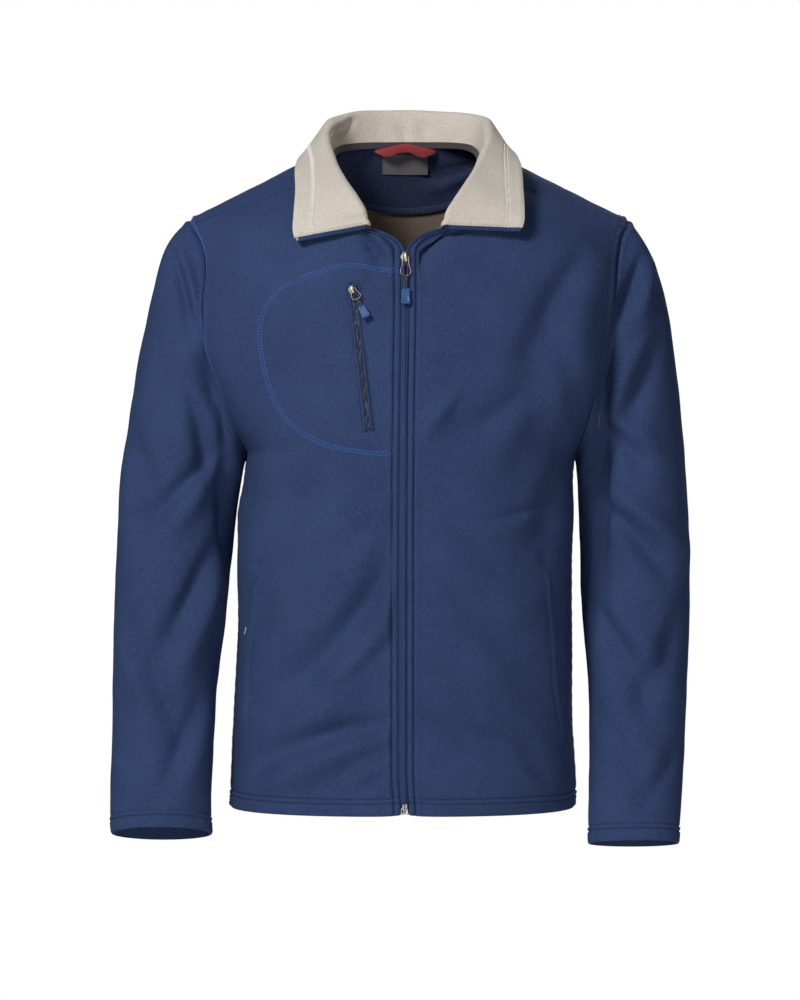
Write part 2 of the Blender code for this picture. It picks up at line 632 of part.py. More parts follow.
for side in ("right", "left"):
    name = "front_" + side
    rows = slice(1, CHAIN_TOP_ROW + 1)
    edge = seams[name][rows, 0]
    n = normals[name][rows, 0].copy()
    n[:, 0] = 0
    n = unit(n)
    along = unit(np.gradient(edge, axis=0))
    out = unit(np.cross(along, n)) * (1 if side == "right" else -1)
    back = 2.5 * SEAM_GAP + FLEECE
    flange = np.full(len(edge), TAPE_WIDTH)
    flange[-3:] = (0.006, 0.003, 0.003)
    profile = [
        (SEAM_GAP, CHAIN_SINK),
        (SEAM_GAP + CHAIN_WIDTH, CHAIN_SINK),
        (SEAM_GAP + CHAIN_WIDTH, back + TAPE_THICKNESS),
        (-1, back + TAPE_THICKNESS),
        (-1, back),
        (SEAM_GAP, back),
    ]
    rings = []
    for k, start in enumerate(edge):
        rings.append([start + out[k] * (e if e > 0 else -flange[k]) - n[k] * d for e, d in profile])
    ribbon("zip_tape_" + side, rings, tape_blue)

    # the same chain goes on along the collar's front end, up to its top stop
    first, second = (0, 1) if side == "right" else (-1, -2)
    end_row = beige_top[first, 3:] - collar_normals[first, 3:] * (COLLAR_LAYER + SEAM_GAP / 2)
    end_out = unit(beige_top[first, 3:] - beige_top[second, 3:])
    across = collar_normals[first, 3:]
    last = end_row[-1] - end_row[-2]

    def end_ring(place, away, facing, width, half_thickness):
        """One section of what is fixed to the collar's end."""
        corners = [(SEAM_GAP, 1), (width, 1), (width, -1), (SEAM_GAP, -1)]
        return [place + away * e + facing * half_thickness * d for e, d in corners]

    strip = [end_ring(*at, 0.0030, 0.0010) for at in zip(end_row[:-1], end_out, across)]
    strip.append(end_ring(end_row[-2] + last * 0.80, end_out[-1], across[-1], 0.0030, 0.0010))
    ribbon("collar_zip_" + side, strip, tape_blue)
    stop = []
    for share in (0.83, 0.93):
        stop.append(end_ring(end_row[-2] + last * share, end_out[-1], across[-1], 0.0034, 0.0014))
    ribbon("top_stop_" + side, stop, nickel)

# ---- hard trims ----------------------------------------------------------------------------
# Each is modelled upright: X across, Z up the zip, and -Y away from the cloth. A slider's origin is on
# the zip's face, under its bridge, and that of its bail, cord and tab is on the bail's bar.

tab_rubber = material("tab_rubber_blue", TAB_BLUE, 0.55)
cord_navy = material("cord_navy", NAVY_DARK, 0.8)

TRIM_CLEAR = 0.0004
PLATE = 0.0015  # thickness of a slider's top plate
BAR_OUT = 0.0032  # how far the bail's bar stands off the zip
WIRE = 0.0006  # radius of the bail's wire
CORD = 0.0007  # radius of a pull's cord
BRIDGE_HALF_WIDTH = 0.0011
TAB_HALF_THICKNESS = 0.0021
TO_BAR = Matrix.Translation((0, -BAR_OUT, 0))


def prism(bm, outline, near, far):
    """Adds an outline in X and Z, extruded from Y = near to Y = far."""
    ends = [[bm.verts.new((x, y, z)) for x, z in outline] for y in (near, far)]
    bm.faces.new(ends[0])
    bm.faces.new(ends[1][::-1])
    for k in range(len(outline)):
        n = (k + 1) % len(outline)
        bm.faces.new((ends[0][k], ends[1][k], ends[1][n], ends[0][n]))


def tube(bm, path, radius, closed=False, sides=6):
    """Adds a round wire along a path."""
    path = np.asarray(path, float)
    ahead = np.roll(path, -1, axis=0) - np.roll(path, 1, axis=0) if closed else np.gradient(path, axis=0)
    ahead = unit(ahead)
    plane = unit(np.linalg.svd(path - path.mean(axis=0))[2][2])
    side = unit(np.cross(ahead, plane))
    turn = np.linspace(0, 2 * np.pi, sides, endpoint=False)
    rings = []
    for p, a in zip(path, side):
        rings.append([bm.verts.new(p + radius * (np.cos(t) * a + np.sin(t) * plane)) for t in turn])
    pairs = list(zip(rings, rings[1:])) + ([(rings[-1], rings[0])] if closed else [])
    for a, b in pairs:
        for k in range(sides):
            n = (k + 1) % sides
            bm.faces.new((a[k], a[n], b[n], b[k]))
    if not closed:
        bm.faces.new(rings[0][::-1])
        bm.faces.new(rings[-1])


def mirrored(right_half):
    """A closed outline from its +X half, listed top to bottom."""
    return right_half + [(-x, z) for x, z in right_half[::-1]]


def trim(name, frame, mat, build, bevel=0.0):
    """Makes a trim with build(bm), upright round its origin, and puts it in its frame."""
    bm = bmesh.new()
    build(bm)
    obj = add_object(name, bm, mat, angle=35)
    obj.matrix_world = frame
    if bevel:
        modifier = obj.modifiers.new("soft_edges", "BEVEL")
        modifier.width = bevel
        modifier.segments = 1
        modifier.limit_method = "ANGLE"
    return obj


def slider_plate(bm, scale):
    half = [
        (0.0030, 0.0052),
        (0.0052, 0.0030),
        (0.0055, 0.0006),
        (0.0042, -0.0052),
        (0.0034, -0.0072),
    ]
    outline = mirrored([(x * scale, z * scale) for x, z in half])
    prism(bm, outline, -TRIM_CLEAR, -TRIM_CLEAR - PLATE)


def slider_bridge(bm, scale):
    """An arch over the bail's bar, seen from the side and extruded across, its feet in the plate."""
    foot = 0.0034 * scale
    feet_y = -TRIM_CLEAR - PLATE / 2
    under_y = -BAR_OUT - WIRE - TRIM_CLEAR
    top_y = under_y - 0.0009
    leg = 0.0010
    upper = [(feet_y, foot - leg), (feet_y, foot), (under_y, foot), (top_y, foot - leg)]
    lower = [(y, -z) for y, z in upper[::-1]]
    outline = upper + lower + [(under_y, -foot + leg), (under_y, foot - leg)]
    half_width = (-BRIDGE_HALF_WIDTH, BRIDGE_HALF_WIDTH)
    ends = [[bm.verts.new((x, y, z)) for y, z in outline] for x in half_width]
    bm.faces.new(ends[0])
    bm.faces.new(ends[1][::-1])
    for k in range(len(outline)):
        n = (k + 1) % len(outline)
        bm.faces.new((ends[0][k], ends[1][k], ends[1][n], ends[0][n]))


def slider(name, frame, scale):
    """The plate and the bridge made one body."""
    whole = trim(name, frame, nickel, lambda bm: slider_plate(bm, scale))
    bridge = trim(name + "_bridge", frame, nickel, lambda bm: slider_bridge(bm, scale))
    union = whole.modifiers.new("bridge", "BOOLEAN")
    union.operation = "UNION"
    union.object = bridge
    bpy.context.view_layer.update()
    shape = whole.evaluated_get(bpy.context.evaluated_depsgraph_get())
    joined = bpy.data.meshes.new_from_object(shape)
    whole.modifiers.clear()
    whole.data = joined
    bpy.data.objects.remove(bridge, do_unlink=True)


def bail(bm, length, width):
    """A pear-shaped loop of wire, hanging from its straight top bar."""
    top, low = 0.0024, width / 2 - WIRE
    wide_z = -length * 0.75
    half = [(top, 0.0), (top + 0.0005, -0.0012), (low * 0.82, -length * 0.45), (low, wide_z)]
    for t in np.linspace(0, np.pi / 2, 5)[1:-1]:
        half.append((low * np.cos(t), wide_z + (-length - wide_z) * np.sin(t)))
    outline = half + [(0.0, -length)] + [(-x, z) for x, z in half[::-1]]
    tube(bm, [(x, 0.0, z) for x, z in outline], WIRE, closed=True)


def pull_cord(bm, bail_length, tab_top):
    """A cord doubled round the bail's bottom, its two ends at the tab."""
    reach = WIRE + CORD + TRIM_CLEAR
    turn = np.linspace(0, np.pi, 7)
    arc = [(0.0, -reach * np.cos(t), -bail_length + reach * np.sin(t)) for t in turn]
    front, back = arc[0][1], arc[-1][1]
    half_way, ends = (tab_top - bail_length) / 2, tab_top + SEAM_GAP
    path = [(0.0, front, ends), (0.0, front, half_way)] + arc
    path += [(0.0, back, half_way), (0.0, back, ends)]
    tube(bm, path, CORD)


def tab(bm, top, length, top_width, bottom_width):
    """A moulded tab, wider at its foot, with cut corners."""
    cut = 0.0012
    foot = top - length
    half = [
        (top_width / 2 - cut, top),
        (top_width / 2, top - cut),
        (bottom_width / 2, foot + cut * 1.5),
        (bottom_width / 2 - cut, foot),
    ]
    prism(bm, mirrored(half), TAB_HALF_THICKNESS, -TAB_HALF_THICKNESS)


def frame_at(place, up, outward):
    """A trim's frame: Z along up, -Y along outward."""
    out = unit(np.asarray(outward, float))
    z = unit(up - (up @ out) * out)
    matrix = Matrix.Identity(4)
    for column, vector in enumerate((np.cross(-out, z), -out, z, place)):
        for row in range(3):
            matrix[row][column] = vector[row]
    return matrix


# The front slider rides between the two rows that hold its zip's face.
FRONT_SLIDER_Z = -0.1215
rows = NECK_ROW["front"] - 3, NECK_ROW["front"] - 2
low, high = (seams["front_right"][r, 0] * np.array([0, 1, 1]) for r in rows)
up = unit(high - low)
face_out = np.array([0.0, -up[2], up[1]])
share = (FRONT_SLIDER_Z - low[2]) / (high[2] - low[2])
front_place = low + (high - low) * share - face_out * CHAIN_SINK
front_frame = frame_at(front_place, up, face_out)
front_pull = front_frame @ TO_BAR

FRONT_BAIL_LENGTH, FRONT_BAIL_WIDTH = 0.0222, 0.0119
FRONT_TAB_TOP, FRONT_TAB_LENGTH = -0.0362, 0.0172
FRONT_TAB_WIDTHS = 0.0090, 0.0108
TAB_BEVEL = 0.0006


def front_tab(bm):
    tab(bm, FRONT_TAB_TOP, FRONT_TAB_LENGTH, *FRONT_TAB_WIDTHS)


slider("zip_slider", front_frame, 1.0)
trim("zip_bail", front_pull, nickel, lambda bm: bail(bm, FRONT_BAIL_LENGTH, FRONT_BAIL_WIDTH))
trim("zip_pull_cord", front_pull, cord_navy, lambda bm: pull_cord(bm, FRONT_BAIL_LENGTH, FRONT_TAB_TOP))
trim("zip_pull_tab", front_pull, tab_rubber, front_tab, TAB_BEVEL)


def zip_box(bm):
    """The box and pin that join the zip's two halves at the hem."""
    half = [(0.0024, 0.0090), (0.0026, 0.0), (0.0036, -0.0010), (0.0036, -0.0090)]
    prism(bm, mirrored(half), CHAIN_DEPTH, -0.0006)


BOX_Z = -0.6957  # its middle
hem_edge = seams["front_right"][0, 0]
box_frame = Matrix.Translation((0.0, hem_edge[1] + 0.0006, BOX_Z))
trim("zip_box", box_frame, nickel, zip_box, 0.0004)

# ---- chest zip -----------------------------------------------------------------------------
# A slanting line on the right front, laid on its outer face.

CHEST_TOP = np.array([-0.0560, -0.1520])
CHEST_BOTTOM = np.array([-0.0385, -0.3020])
CHEST_COIL_HALF_WIDTH = 0.0023
CHEST_COIL = 0.0009
CHEST_LIFT = 0.0005  # of the coil off the front
outside_front = tree(grids["front_right"])
chest_t = np.linspace(0, 1, 13)[:, None]
chest_line = CHEST_TOP + (CHEST_BOTTOM - CHEST_TOP) * chest_t
chest_down = unit(CHEST_BOTTOM - CHEST_TOP)
chest_side = np.array([-chest_down[1], chest_down[0]])
offsets = np.array([-CHEST_COIL_HALF_WIDTH, 0.0, CHEST_COIL_HALF_WIDTH])
chest_x = chest_line[:, :1] + chest_side[0] * offsets
chest_z = chest_line[:, 1:] + chest_side[1] * offsets
chest_near, chest_facing = on_surface(outside_front, chest_x, chest_z, -0.5, CHEST_LIFT)
wall("chest_zip", chest_near + chest_facing * CHEST_COIL, chest_near, tape_blue)

# Its slider, and its pull, which hangs turned to the wearer's left.
CHEST_SLIDER_DOWN = 0.0048  # from the slit's top to the slider's bridge
CHEST_SLIDER_SCALE = 0.82
CHEST_PULL_TURN = -19
CHEST_BAIL_LENGTH, CHEST_BAIL_WIDTH = 0.0132, 0.0106
CHEST_TAB_TOP, CHEST_TAB_LENGTH = -0.0222, 0.0137
CHEST_TAB_WIDTHS = 0.0078, 0.0100
slider_x, slider_z = (CHEST_TOP + chest_down * CHEST_SLIDER_DOWN)[:, None, None]
coil_face = CHEST_LIFT + CHEST_COIL + SEAM_GAP
spot, spot_facing = on_surface(outside_front, slider_x, slider_z, -0.5, coil_face)
chest_frame = frame_at(spot[0, 0], chest_near[0, 1] - chest_near[2, 1], spot_facing[0, 0])
chest_pull = chest_frame @ Matrix.Rotation(radians(CHEST_PULL_TURN), 4, "Y") @ TO_BAR


def chest_tab(bm):
    tab(bm, CHEST_TAB_TOP, CHEST_TAB_LENGTH, *CHEST_TAB_WIDTHS)


slider("chest_slider", chest_frame, CHEST_SLIDER_SCALE)
trim("chest_bail", chest_pull, nickel, lambda bm: bail(bm, CHEST_BAIL_LENGTH, CHEST_BAIL_WIDTH))
trim("chest_pull_cord", chest_pull, cord_navy, lambda bm: pull_cord(bm, CHEST_BAIL_LENGTH, CHEST_TAB_TOP))
trim("chest_pull_tab", chest_pull, tab_rubber, chest_tab, TAB_BEVEL)
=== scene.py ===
"""A fleece zip jacket, size M, filled out as if worn: its looks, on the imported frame.

Metres, +Z up. The front faces -Y and the wearer's right is -X, as in the frame.
"""

import json
from math import pi, radians

import bmesh
import bpy
import numpy as np
from mathutils import Matrix, Vector
from mathutils.bvhtree import BVHTree

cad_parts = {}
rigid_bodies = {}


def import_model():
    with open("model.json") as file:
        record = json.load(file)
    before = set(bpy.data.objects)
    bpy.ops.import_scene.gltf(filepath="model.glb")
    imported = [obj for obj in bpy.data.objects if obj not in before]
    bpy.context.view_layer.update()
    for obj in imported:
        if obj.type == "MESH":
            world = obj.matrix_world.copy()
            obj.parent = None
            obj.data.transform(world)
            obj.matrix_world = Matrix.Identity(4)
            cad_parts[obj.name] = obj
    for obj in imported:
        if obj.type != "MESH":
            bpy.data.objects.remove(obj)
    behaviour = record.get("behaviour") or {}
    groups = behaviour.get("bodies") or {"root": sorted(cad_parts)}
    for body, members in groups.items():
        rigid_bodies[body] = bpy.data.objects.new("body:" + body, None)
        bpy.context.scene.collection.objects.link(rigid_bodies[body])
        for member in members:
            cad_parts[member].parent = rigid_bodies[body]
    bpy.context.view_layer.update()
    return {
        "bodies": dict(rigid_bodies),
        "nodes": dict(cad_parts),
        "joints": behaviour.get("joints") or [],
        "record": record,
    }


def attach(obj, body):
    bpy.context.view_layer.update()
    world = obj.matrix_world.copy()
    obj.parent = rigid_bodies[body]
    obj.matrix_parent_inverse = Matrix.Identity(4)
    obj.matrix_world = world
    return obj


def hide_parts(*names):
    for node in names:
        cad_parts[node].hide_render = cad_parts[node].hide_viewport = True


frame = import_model()
scene = bpy.context.scene

# ---- camera and studio ---------------------------------------------------------------------
# A level camera with a long lens stands in front of the jacket. The studio is white all round, with
# a large soft light high on the left, a weaker one on the right and a pale floor well below.

CAMERA_PLACE = Vector((-0.006, -3.5, -0.376))
LENS_MM = 116.667
FLOOR_Z = -1.35
FLOOR_RADIUS = 2.6

camera_data = bpy.data.cameras.new("camera")
camera_data.lens = LENS_MM
camera_data.sensor_width = 36.0
camera = bpy.data.objects.new("camera", camera_data)
camera.location = CAMERA_PLACE
camera.rotation_euler = (radians(90), 0, 0)
scene.collection.objects.link(camera)
scene.camera = camera
scene.view_settings.view_transform = "Standard"


def linear(hex_colour):
    """An sRGB hex colour as the linear values that a shader takes."""
    parts = [int(hex_colour[n : n + 2], 16) / 255 for n in (1, 3, 5)]
    return (*[p / 12.92 if p <= 0.04045 else ((p + 0.055) / 1.055) ** 2.4 for p in parts], 1.0)


def node(tree, kind, inputs=None, **settings):
    """Adds a node. An input given a socket is linked to it, and any other is set."""
    new = tree.nodes.new(kind)
    for name, value in settings.items():
        setattr(new, name, value)
    for name, value in (inputs or {}).items():
        if isinstance(value, bpy.types.NodeSocket):
            tree.links.new(value, new.inputs[name])
        else:
            new.inputs[name].default_value = value
    return new


WORLD_LIGHT = 0.05  # weak, so that the lamps shape the cloth
world = bpy.data.worlds.new("white_studio")
world.use_nodes = True
scene.world = world
sky = world.node_tree
sky.nodes.clear()
seen = node(sky, "ShaderNodeBackground", {"Color": (1, 1, 1, 1), "Strength": 1.0})
cast = node(sky, "ShaderNodeBackground", {"Color": (0.93, 0.96, 1, 1), "Strength": WORLD_LIGHT})
to_camera = node(sky, "ShaderNodeLightPath").outputs["Is Camera Ray"]
both = node(sky, "ShaderNodeMixShader", {0: to_camera, 1: cast.outputs[0], 2: seen.outputs[0]})
node(sky, "ShaderNodeOutputWorld", {"Surface": both.outputs[0]})

LIGHTS = {
    # name: place, watts, width
    "key": ((-1.7, -2.4, 1.7), 86, 1.0),
    "fill": ((1.0, -3.1, -0.9), 22, 1.4),
    "back": ((0.8, 2.4, 1.3), 40, 1.6),
}
LAMP_AIM = Vector((0, 0, -0.35))
for name, (place, watts, width) in LIGHTS.items():
    light = bpy.data.lights.new(name, "AREA")
    light.energy = watts
    light.size = width
    lamp = bpy.data.objects.new(name, light)
    lamp.location = place
    lamp.rotation_euler = (LAMP_AIM - Vector(place)).to_track_quat("-Z", "Y").to_euler()
    scene.collection.objects.link(lamp)


def new_material(name, colour, roughness, metallic=0.0, **sockets):
    """A Principled material, and its tree and shader. Sockets name others with _ for a space."""
    mat = bpy.data.materials.new(name)
    mat.use_nodes = True
    shader = mat.node_tree.nodes["Principled BSDF"]
    values = {"Base Color": linear(colour), "Roughness": roughness, "Metallic": metallic}
    values.update({socket.replace("_", " "): value for socket, value in sockets.items()})
    for socket, value in values.items():
        shader.inputs[socket].default_value = value
    return mat, mat.node_tree, shader


floor_mesh = bmesh.new()
bmesh.ops.create_circle(floor_mesh, cap_ends=True, radius=FLOOR_RADIUS, segments=96)
floor_data = bpy.data.meshes.new("floor")
floor_mesh.to_mesh(floor_data)
floor_mesh.free()
floor = bpy.data.objects.new("floor", floor_data)
floor.location.z = FLOOR_Z
floor_data.materials.append(new_material("studio_floor_paint", "#F1F1F0", 0.7)[0])
scene.collection.objects.link(floor)

# ---- body and sleeves ----------------------------------------------------------------------
# Two fronts, a back that wraps over the shoulders, and two set-in sleeves, cut from 2.2 mm brushed
# polyester fleece: navy outside, beige inside, its inside coloured a darker taupe as painted shade. Their
# seams lie flat, and the hem and the cuffs are turned in and sewn down with two rows.

FLEECE = 0.0022

# The body below the armholes, and then each row above them from its middle end, on the zip or the
# neck, to its side end, on the armhole. flat is 0 for a round row and 1 for a straight one.
TORSO = """
z       front_y  back_y  right_x  left_x  side_y
-0.7060 -0.1280  0.1180  0.1885   0.1815  0.006
-0.6860 -0.1280  0.1190  0.1880   0.1830  0.006
-0.6100 -0.1290  0.1190  0.1852   0.1795  0.006
-0.5020 -0.1320  0.1150  0.1798   0.1785  0.006
-0.4400 -0.1350  0.1170  0.1792   0.1785  0.005
-0.3960 -0.1370  0.1210  0.1800   0.1795  0.003
-0.3560 -0.1380  0.1250  0.1735   0.1790  0.001
-0.3250 -0.1380  0.1280  0.1700   0.1820  0.000
"""
FRONT_YOKE = """
mid_x   mid_y    mid_z    right_x  left_x  side_y   side_z   flat
0.0042  -0.1380  -0.3250  0.1700   0.1820   0.0000  -0.3250  0.00
0.0042  -0.1365  -0.2720  0.1830   0.1915  -0.0360  -0.2960  0.00
0.0042  -0.1330  -0.2200  0.1990   0.2030  -0.0560  -0.2530  0.05
0.0042  -0.1240  -0.1660  0.2130   0.2150  -0.0600  -0.2080  0.12
0.0048  -0.1105  -0.1165  0.2150   0.2215  -0.0570  -0.1690  0.22
0.0140  -0.1070  -0.1030  0.2130   0.2240  -0.0500  -0.1440  0.30
0.0385  -0.1025  -0.0915  0.2135   0.2255  -0.0420  -0.1240  0.38
0.0490  -0.0965  -0.0790  0.2170   0.2285  -0.0330  -0.1070  0.50
0.0620  -0.0840  -0.0620  0.2225   0.2320  -0.0240  -0.0935  0.65
0.0735  -0.0620  -0.0440  0.2285   0.2370  -0.0180  -0.0840  0.82
0.0800  -0.0350  -0.0270  0.2320   0.2400  -0.0140  -0.0785  1.00
"""
BACK_YOKE = """
mid_x   mid_y    mid_z    right_x  left_x  side_y   side_z   flat
0.0000   0.1280  -0.3250  0.1700   0.1820   0.0000  -0.3250  0.00
0.0000   0.1310  -0.2650  0.1800   0.1890   0.0380  -0.2950  0.00
0.0000   0.1300  -0.1900  0.1950   0.2010   0.0600  -0.2400  0.05
0.0000   0.1180  -0.1000  0.2060   0.2130   0.0640  -0.1800  0.12
0.0000   0.0800   0.0165  0.2140   0.2220   0.0560  -0.1300  0.25
0.0240   0.0776   0.0162  0.2182   0.2262   0.0472  -0.1115  0.37
0.0450   0.0700   0.0150  0.2220   0.2300   0.0380  -0.0960  0.50
0.0740   0.0420   0.0090  0.2290   0.2370   0.0200  -0.0780  0.76
0.0830   0.0030  -0.0035  0.2330   0.2410   0.0020  -0.0725  0.93
0.0800  -0.0350  -0.0270  0.2320   0.2400  -0.0140  -0.0785  1.00
"""
V_ROW, FRONT_NECK_ROW, FRONT_TOP_ROW = 4, 6, 10
BACK_NECK_ROW, BACK_TOP_ROW = 4, 9
UNDERARM_ROW = 7

# Sleeve rings from the armhole to the cuff: the outer and the inner edge seen from the front, the
# ring's middle and half depth, and how far it leans, in degrees, front edge up.
SLEEVES = {
    "right": """
out_x   out_z    in_x    in_z     mid_y    depth   lean
0.2335  -0.0725  0.1700  -0.3250   0.0010  0.0600   0
0.2510  -0.0905  0.1735  -0.3365   0.0010  0.0600   0
0.2610  -0.1080  0.1757  -0.3460   0.0020  0.0605   0
0.2690  -0.1340  0.1778  -0.3570   0.0040  0.0615   0
0.2800  -0.1820  0.1800  -0.3710   0.0070  0.0630   0
0.2885  -0.2195  0.1818  -0.3850   0.0090  0.0645   0
0.2975  -0.2800  0.1838  -0.4020   0.0100  0.0655   1
0.3045  -0.3306  0.1856  -0.4240   0.0090  0.0655   3
0.3100  -0.3975  0.1890  -0.4550   0.0060  0.0640   6
0.3135  -0.4750  0.1935  -0.5000  -0.0010  0.0600  10
0.3155  -0.5920  0.2030  -0.5920  -0.0180  0.0500  14
0.3150  -0.7110  0.2070  -0.7110  -0.0400  0.0370  16
0.3135  -0.7316  0.2065  -0.7316  -0.0445  0.0350  17
""",
    "left": """
out_x   out_z    in_x    in_z     mid_y    depth   lean
0.2415  -0.0725  0.1820  -0.3250   0.0010  0.0600   0
0.2565  -0.0950  0.1840  -0.3370   0.0010  0.0600   0
0.2650  -0.1120  0.1850  -0.3470   0.0020  0.0605   0
0.2770  -0.1450  0.1858  -0.3590   0.0040  0.0615   0
0.2865  -0.1825  0.1862  -0.3720   0.0070  0.0630   0
0.2916  -0.2270  0.1864  -0.3860   0.0090  0.0645   0
0.2975  -0.2810  0.1868  -0.4060   0.0100  0.0650   1
0.3030  -0.3306  0.1878  -0.4280   0.0090  0.0645   3
0.3057  -0.3975  0.1888  -0.4600   0.0060  0.0630   6
0.3070  -0.4700  0.1910  -0.5000  -0.0010  0.0590   9
0.3015  -0.6100  0.1965  -0.6050  -0.0190  0.0470  11
0.2930  -0.7220  0.1955  -0.7220  -0.0380  0.0350  12
0.2912  -0.7425  0.1950  -0.7425  -0.0420  0.0335  12
""",
}

# Folds seen from the front, or from the back for the back. Each is a trough along a line that bends
# sideways by bend; ridge is how much of its depth comes up beside it, on the side of side.
FOLDS = {
    "front_right": """
x0      z0      x1      z1      depth   width   bend    ridge  side
-0.018  -0.446  -0.142  -0.590   0.0132  0.016     0.008  0.85   1
-0.020  -0.606  -0.165  -0.656   0.0112  0.012    -0.006  0.85   1
-0.014  -0.660  -0.062  -0.682   0.0036  0.006     0.002  0.50   1
-0.034  -0.396  -0.072  -0.428   0.0031  0.009     0.003  0.40   1
-0.012  -0.520  -0.110  -0.600   0.0036  0.009     0.004  0.40  -1
-0.060  -0.350  -0.165  -0.395   0.0053  0.020     0.004  0.40   1
-0.110  -0.360  -0.162  -0.520   0.0053  0.015     0.004  0.50  -1
-0.042  -0.0945 -0.0235 -0.130   0.0098  0.0055   -0.002  0.70   1
-0.026  -0.120  -0.050  -0.170   0.0025  0.008     0.002  0.40   1
-0.150  -0.150  -0.185  -0.270   0.0053  0.014     0.004  0.50   1
-0.110  -0.190  -0.060  -0.260   0.0025  0.016     0.004  0.30   1
-0.062  -0.160  -0.030  -0.300   0.0022  0.012     0.002  0.30   1
-0.040  -0.640  -0.110  -0.690   0.0025  0.009     0.003  0.40   1
-0.130  -0.600  -0.170  -0.690   0.0036  0.012     0.003  0.40   1
-0.170  -0.415  -0.085  -0.560  -0.0060  0.028   0.004  0.00   1
-0.022  -0.410  -0.045  -0.560   0.0046  0.018   0.000  0.00   1
""",
    "front_left": """
x0      z0      x1      z1      depth   width   bend    ridge  side
0.183   -0.121  0.121   -0.266   0.0106  0.018    -0.006  0.55   1
0.121   -0.266  0.050   -0.306   0.0067  0.017     0.006  0.45   1
0.053   -0.262  0.018   -0.309  -0.0078  0.009     0.000  0.00   1
0.056   -0.0935 0.0140  -0.132   0.0120  0.0084  -0.0150  0.10  -1
0.150   -0.180  0.186   -0.300   0.0042  0.012     0.003  0.40   1
0.168   -0.330  0.128   -0.440   0.0056  0.014     0.004  0.45   1
0.050   -0.465  0.148   -0.590   0.0062  0.018     0.006  0.50   1
0.022   -0.596  0.146   -0.652   0.0059  0.013    -0.004  0.50   1
0.016   -0.372  0.110   -0.470   0.0039  0.016     0.004  0.40   1
0.018   -0.520  0.070   -0.560   0.0028  0.011     0.003  0.40   1
0.120   -0.625  0.160   -0.685   0.0042  0.010     0.000  0.50   1
0.016   -0.340  0.060   -0.372   0.0020  0.010     0.002  0.30   1
0.166   -0.200  0.104   -0.400   0.0060  0.030   0.000  0.00   1
0.157   -0.376  0.078   -0.399   0.0032  0.006   0.003  0.40   1
""",
    "back": """
x0      z0      x1      z1      depth   width   bend    ridge  side
-0.160  -0.405  0.020   -0.500   0.0087  0.017     0.012  0.65   1
0.165   -0.390  -0.035  -0.560   0.0084  0.018    -0.012  0.65   1
-0.155  -0.555  0.060   -0.640   0.0064  0.015     0.010  0.60   1
0.155   -0.600  0.020   -0.672   0.0053  0.013    -0.006  0.55   1
0.120   -0.185  0.170   -0.335   0.0084  0.015     0.006  0.55   1
-0.112  -0.175  -0.162  -0.325   0.0084  0.015    -0.006  0.55  -1
-0.060  -0.130  0.050   -0.150   0.0036  0.016    -0.006  0.30   1
0.060   -0.260  -0.040  -0.330   0.0042  0.018     0.006  0.30   1
-0.100  -0.300  -0.020  -0.400   0.0034  0.016     0.006  0.30   1
""",
    "sleeve_right": """
x0      z0      x1      z1      depth   width   bend    ridge  side
-0.250  -0.110  -0.228  -0.214   0.0092  0.007     0.003  0.75   1
-0.231  -0.262  -0.204  -0.380   0.0109  0.011     0.003  0.55   1
-0.192  -0.290  -0.183  -0.480   0.0150  0.012     0.000  0.00   1
-0.215  -0.170  -0.195  -0.330   0.0112  0.014     0.000  0.30  -1
-0.206  -0.325  -0.288  -0.405   0.0090  0.011     0.004  0.70   1
-0.206  -0.425  -0.274  -0.560   0.0112  0.012     0.004  0.75   1
-0.297  -0.505  -0.235  -0.640   0.0078  0.012     0.005  0.60  -1
-0.220  -0.590  -0.264  -0.690   0.0067  0.010     0.003  0.60   1
-0.298  -0.300  -0.260  -0.420   0.0070  0.014     0.004  0.55  -1
-0.304  -0.640  -0.262  -0.700   0.0042  0.008     0.002  0.55  -1
""",
    "sleeve_left": """
x0      z0      x1      z1      depth   width   bend    ridge  side
0.251   -0.120  0.220   -0.186   0.0126  0.009     0.003  0.60   1
0.214   -0.180  0.192   -0.420   0.0190  0.015     0.003  0.00   1
0.200   -0.330  0.200   -0.500   0.0140  0.014     0.000  0.00   1
0.272   -0.200  0.212   -0.332   0.0092  0.012     0.004  0.60  -1
0.210   -0.300  0.258   -0.345   0.0078  0.010     0.003  0.60   1
0.206   -0.380  0.287   -0.462   0.0109  0.012     0.004  0.70   1
0.200   -0.490  0.264   -0.605   0.0092  0.012     0.004  0.65   1
0.292   -0.495  0.238   -0.610   0.0070  0.012     0.004  0.55  -1
0.208   -0.605  0.252   -0.690   0.0064  0.010     0.003  0.55   1
0.288   -0.640  0.245   -0.705   0.0042  0.008     0.002  0.55  -1
""",
}


def table(text):
    """The columns of a text table by name, as arrays."""
    head, *rows = [line.split() for line in text.strip().splitlines()]
    values = np.array([[float(cell) for cell in row] for row in rows])
    return {name: values[:, n] for n, name in enumerate(head)}


def smooth(values, at):
    """Reads a column at fractional rows, through its values without overshoot."""
    rise = np.diff(values)
    slope = np.zeros(len(values))
    same = rise[:-1] * rise[1:] > 0
    total = np.where(same, rise[:-1] + rise[1:], 1.0)
    slope[1:-1] = np.where(same, 2 * rise[:-1] * rise[1:] / total, 0.0)
    slope[0], slope[-1] = rise[0], rise[-1]
    at = np.clip(np.asarray(at, float), 0, len(values) - 1)
    row = np.minimum(at.astype(int), len(values) - 2)
    t = at - row
    return (
        values[row] * (1 + 2 * t) * (1 - t) ** 2
        + slope[row] * t * (1 - t) ** 2
        + values[row + 1] * t**2 * (3 - 2 * t)
        + slope[row + 1] * t**2 * (t - 1)
    )


def unit(v):
    """Vectors made one long."""
    return v / np.maximum(np.linalg.norm(v, axis=-1, keepdims=True), 1e-12)


def bell(distance, width):
    """1 at no distance, falling to nothing a few widths away."""
    return np.exp(-((distance / width) ** 2))


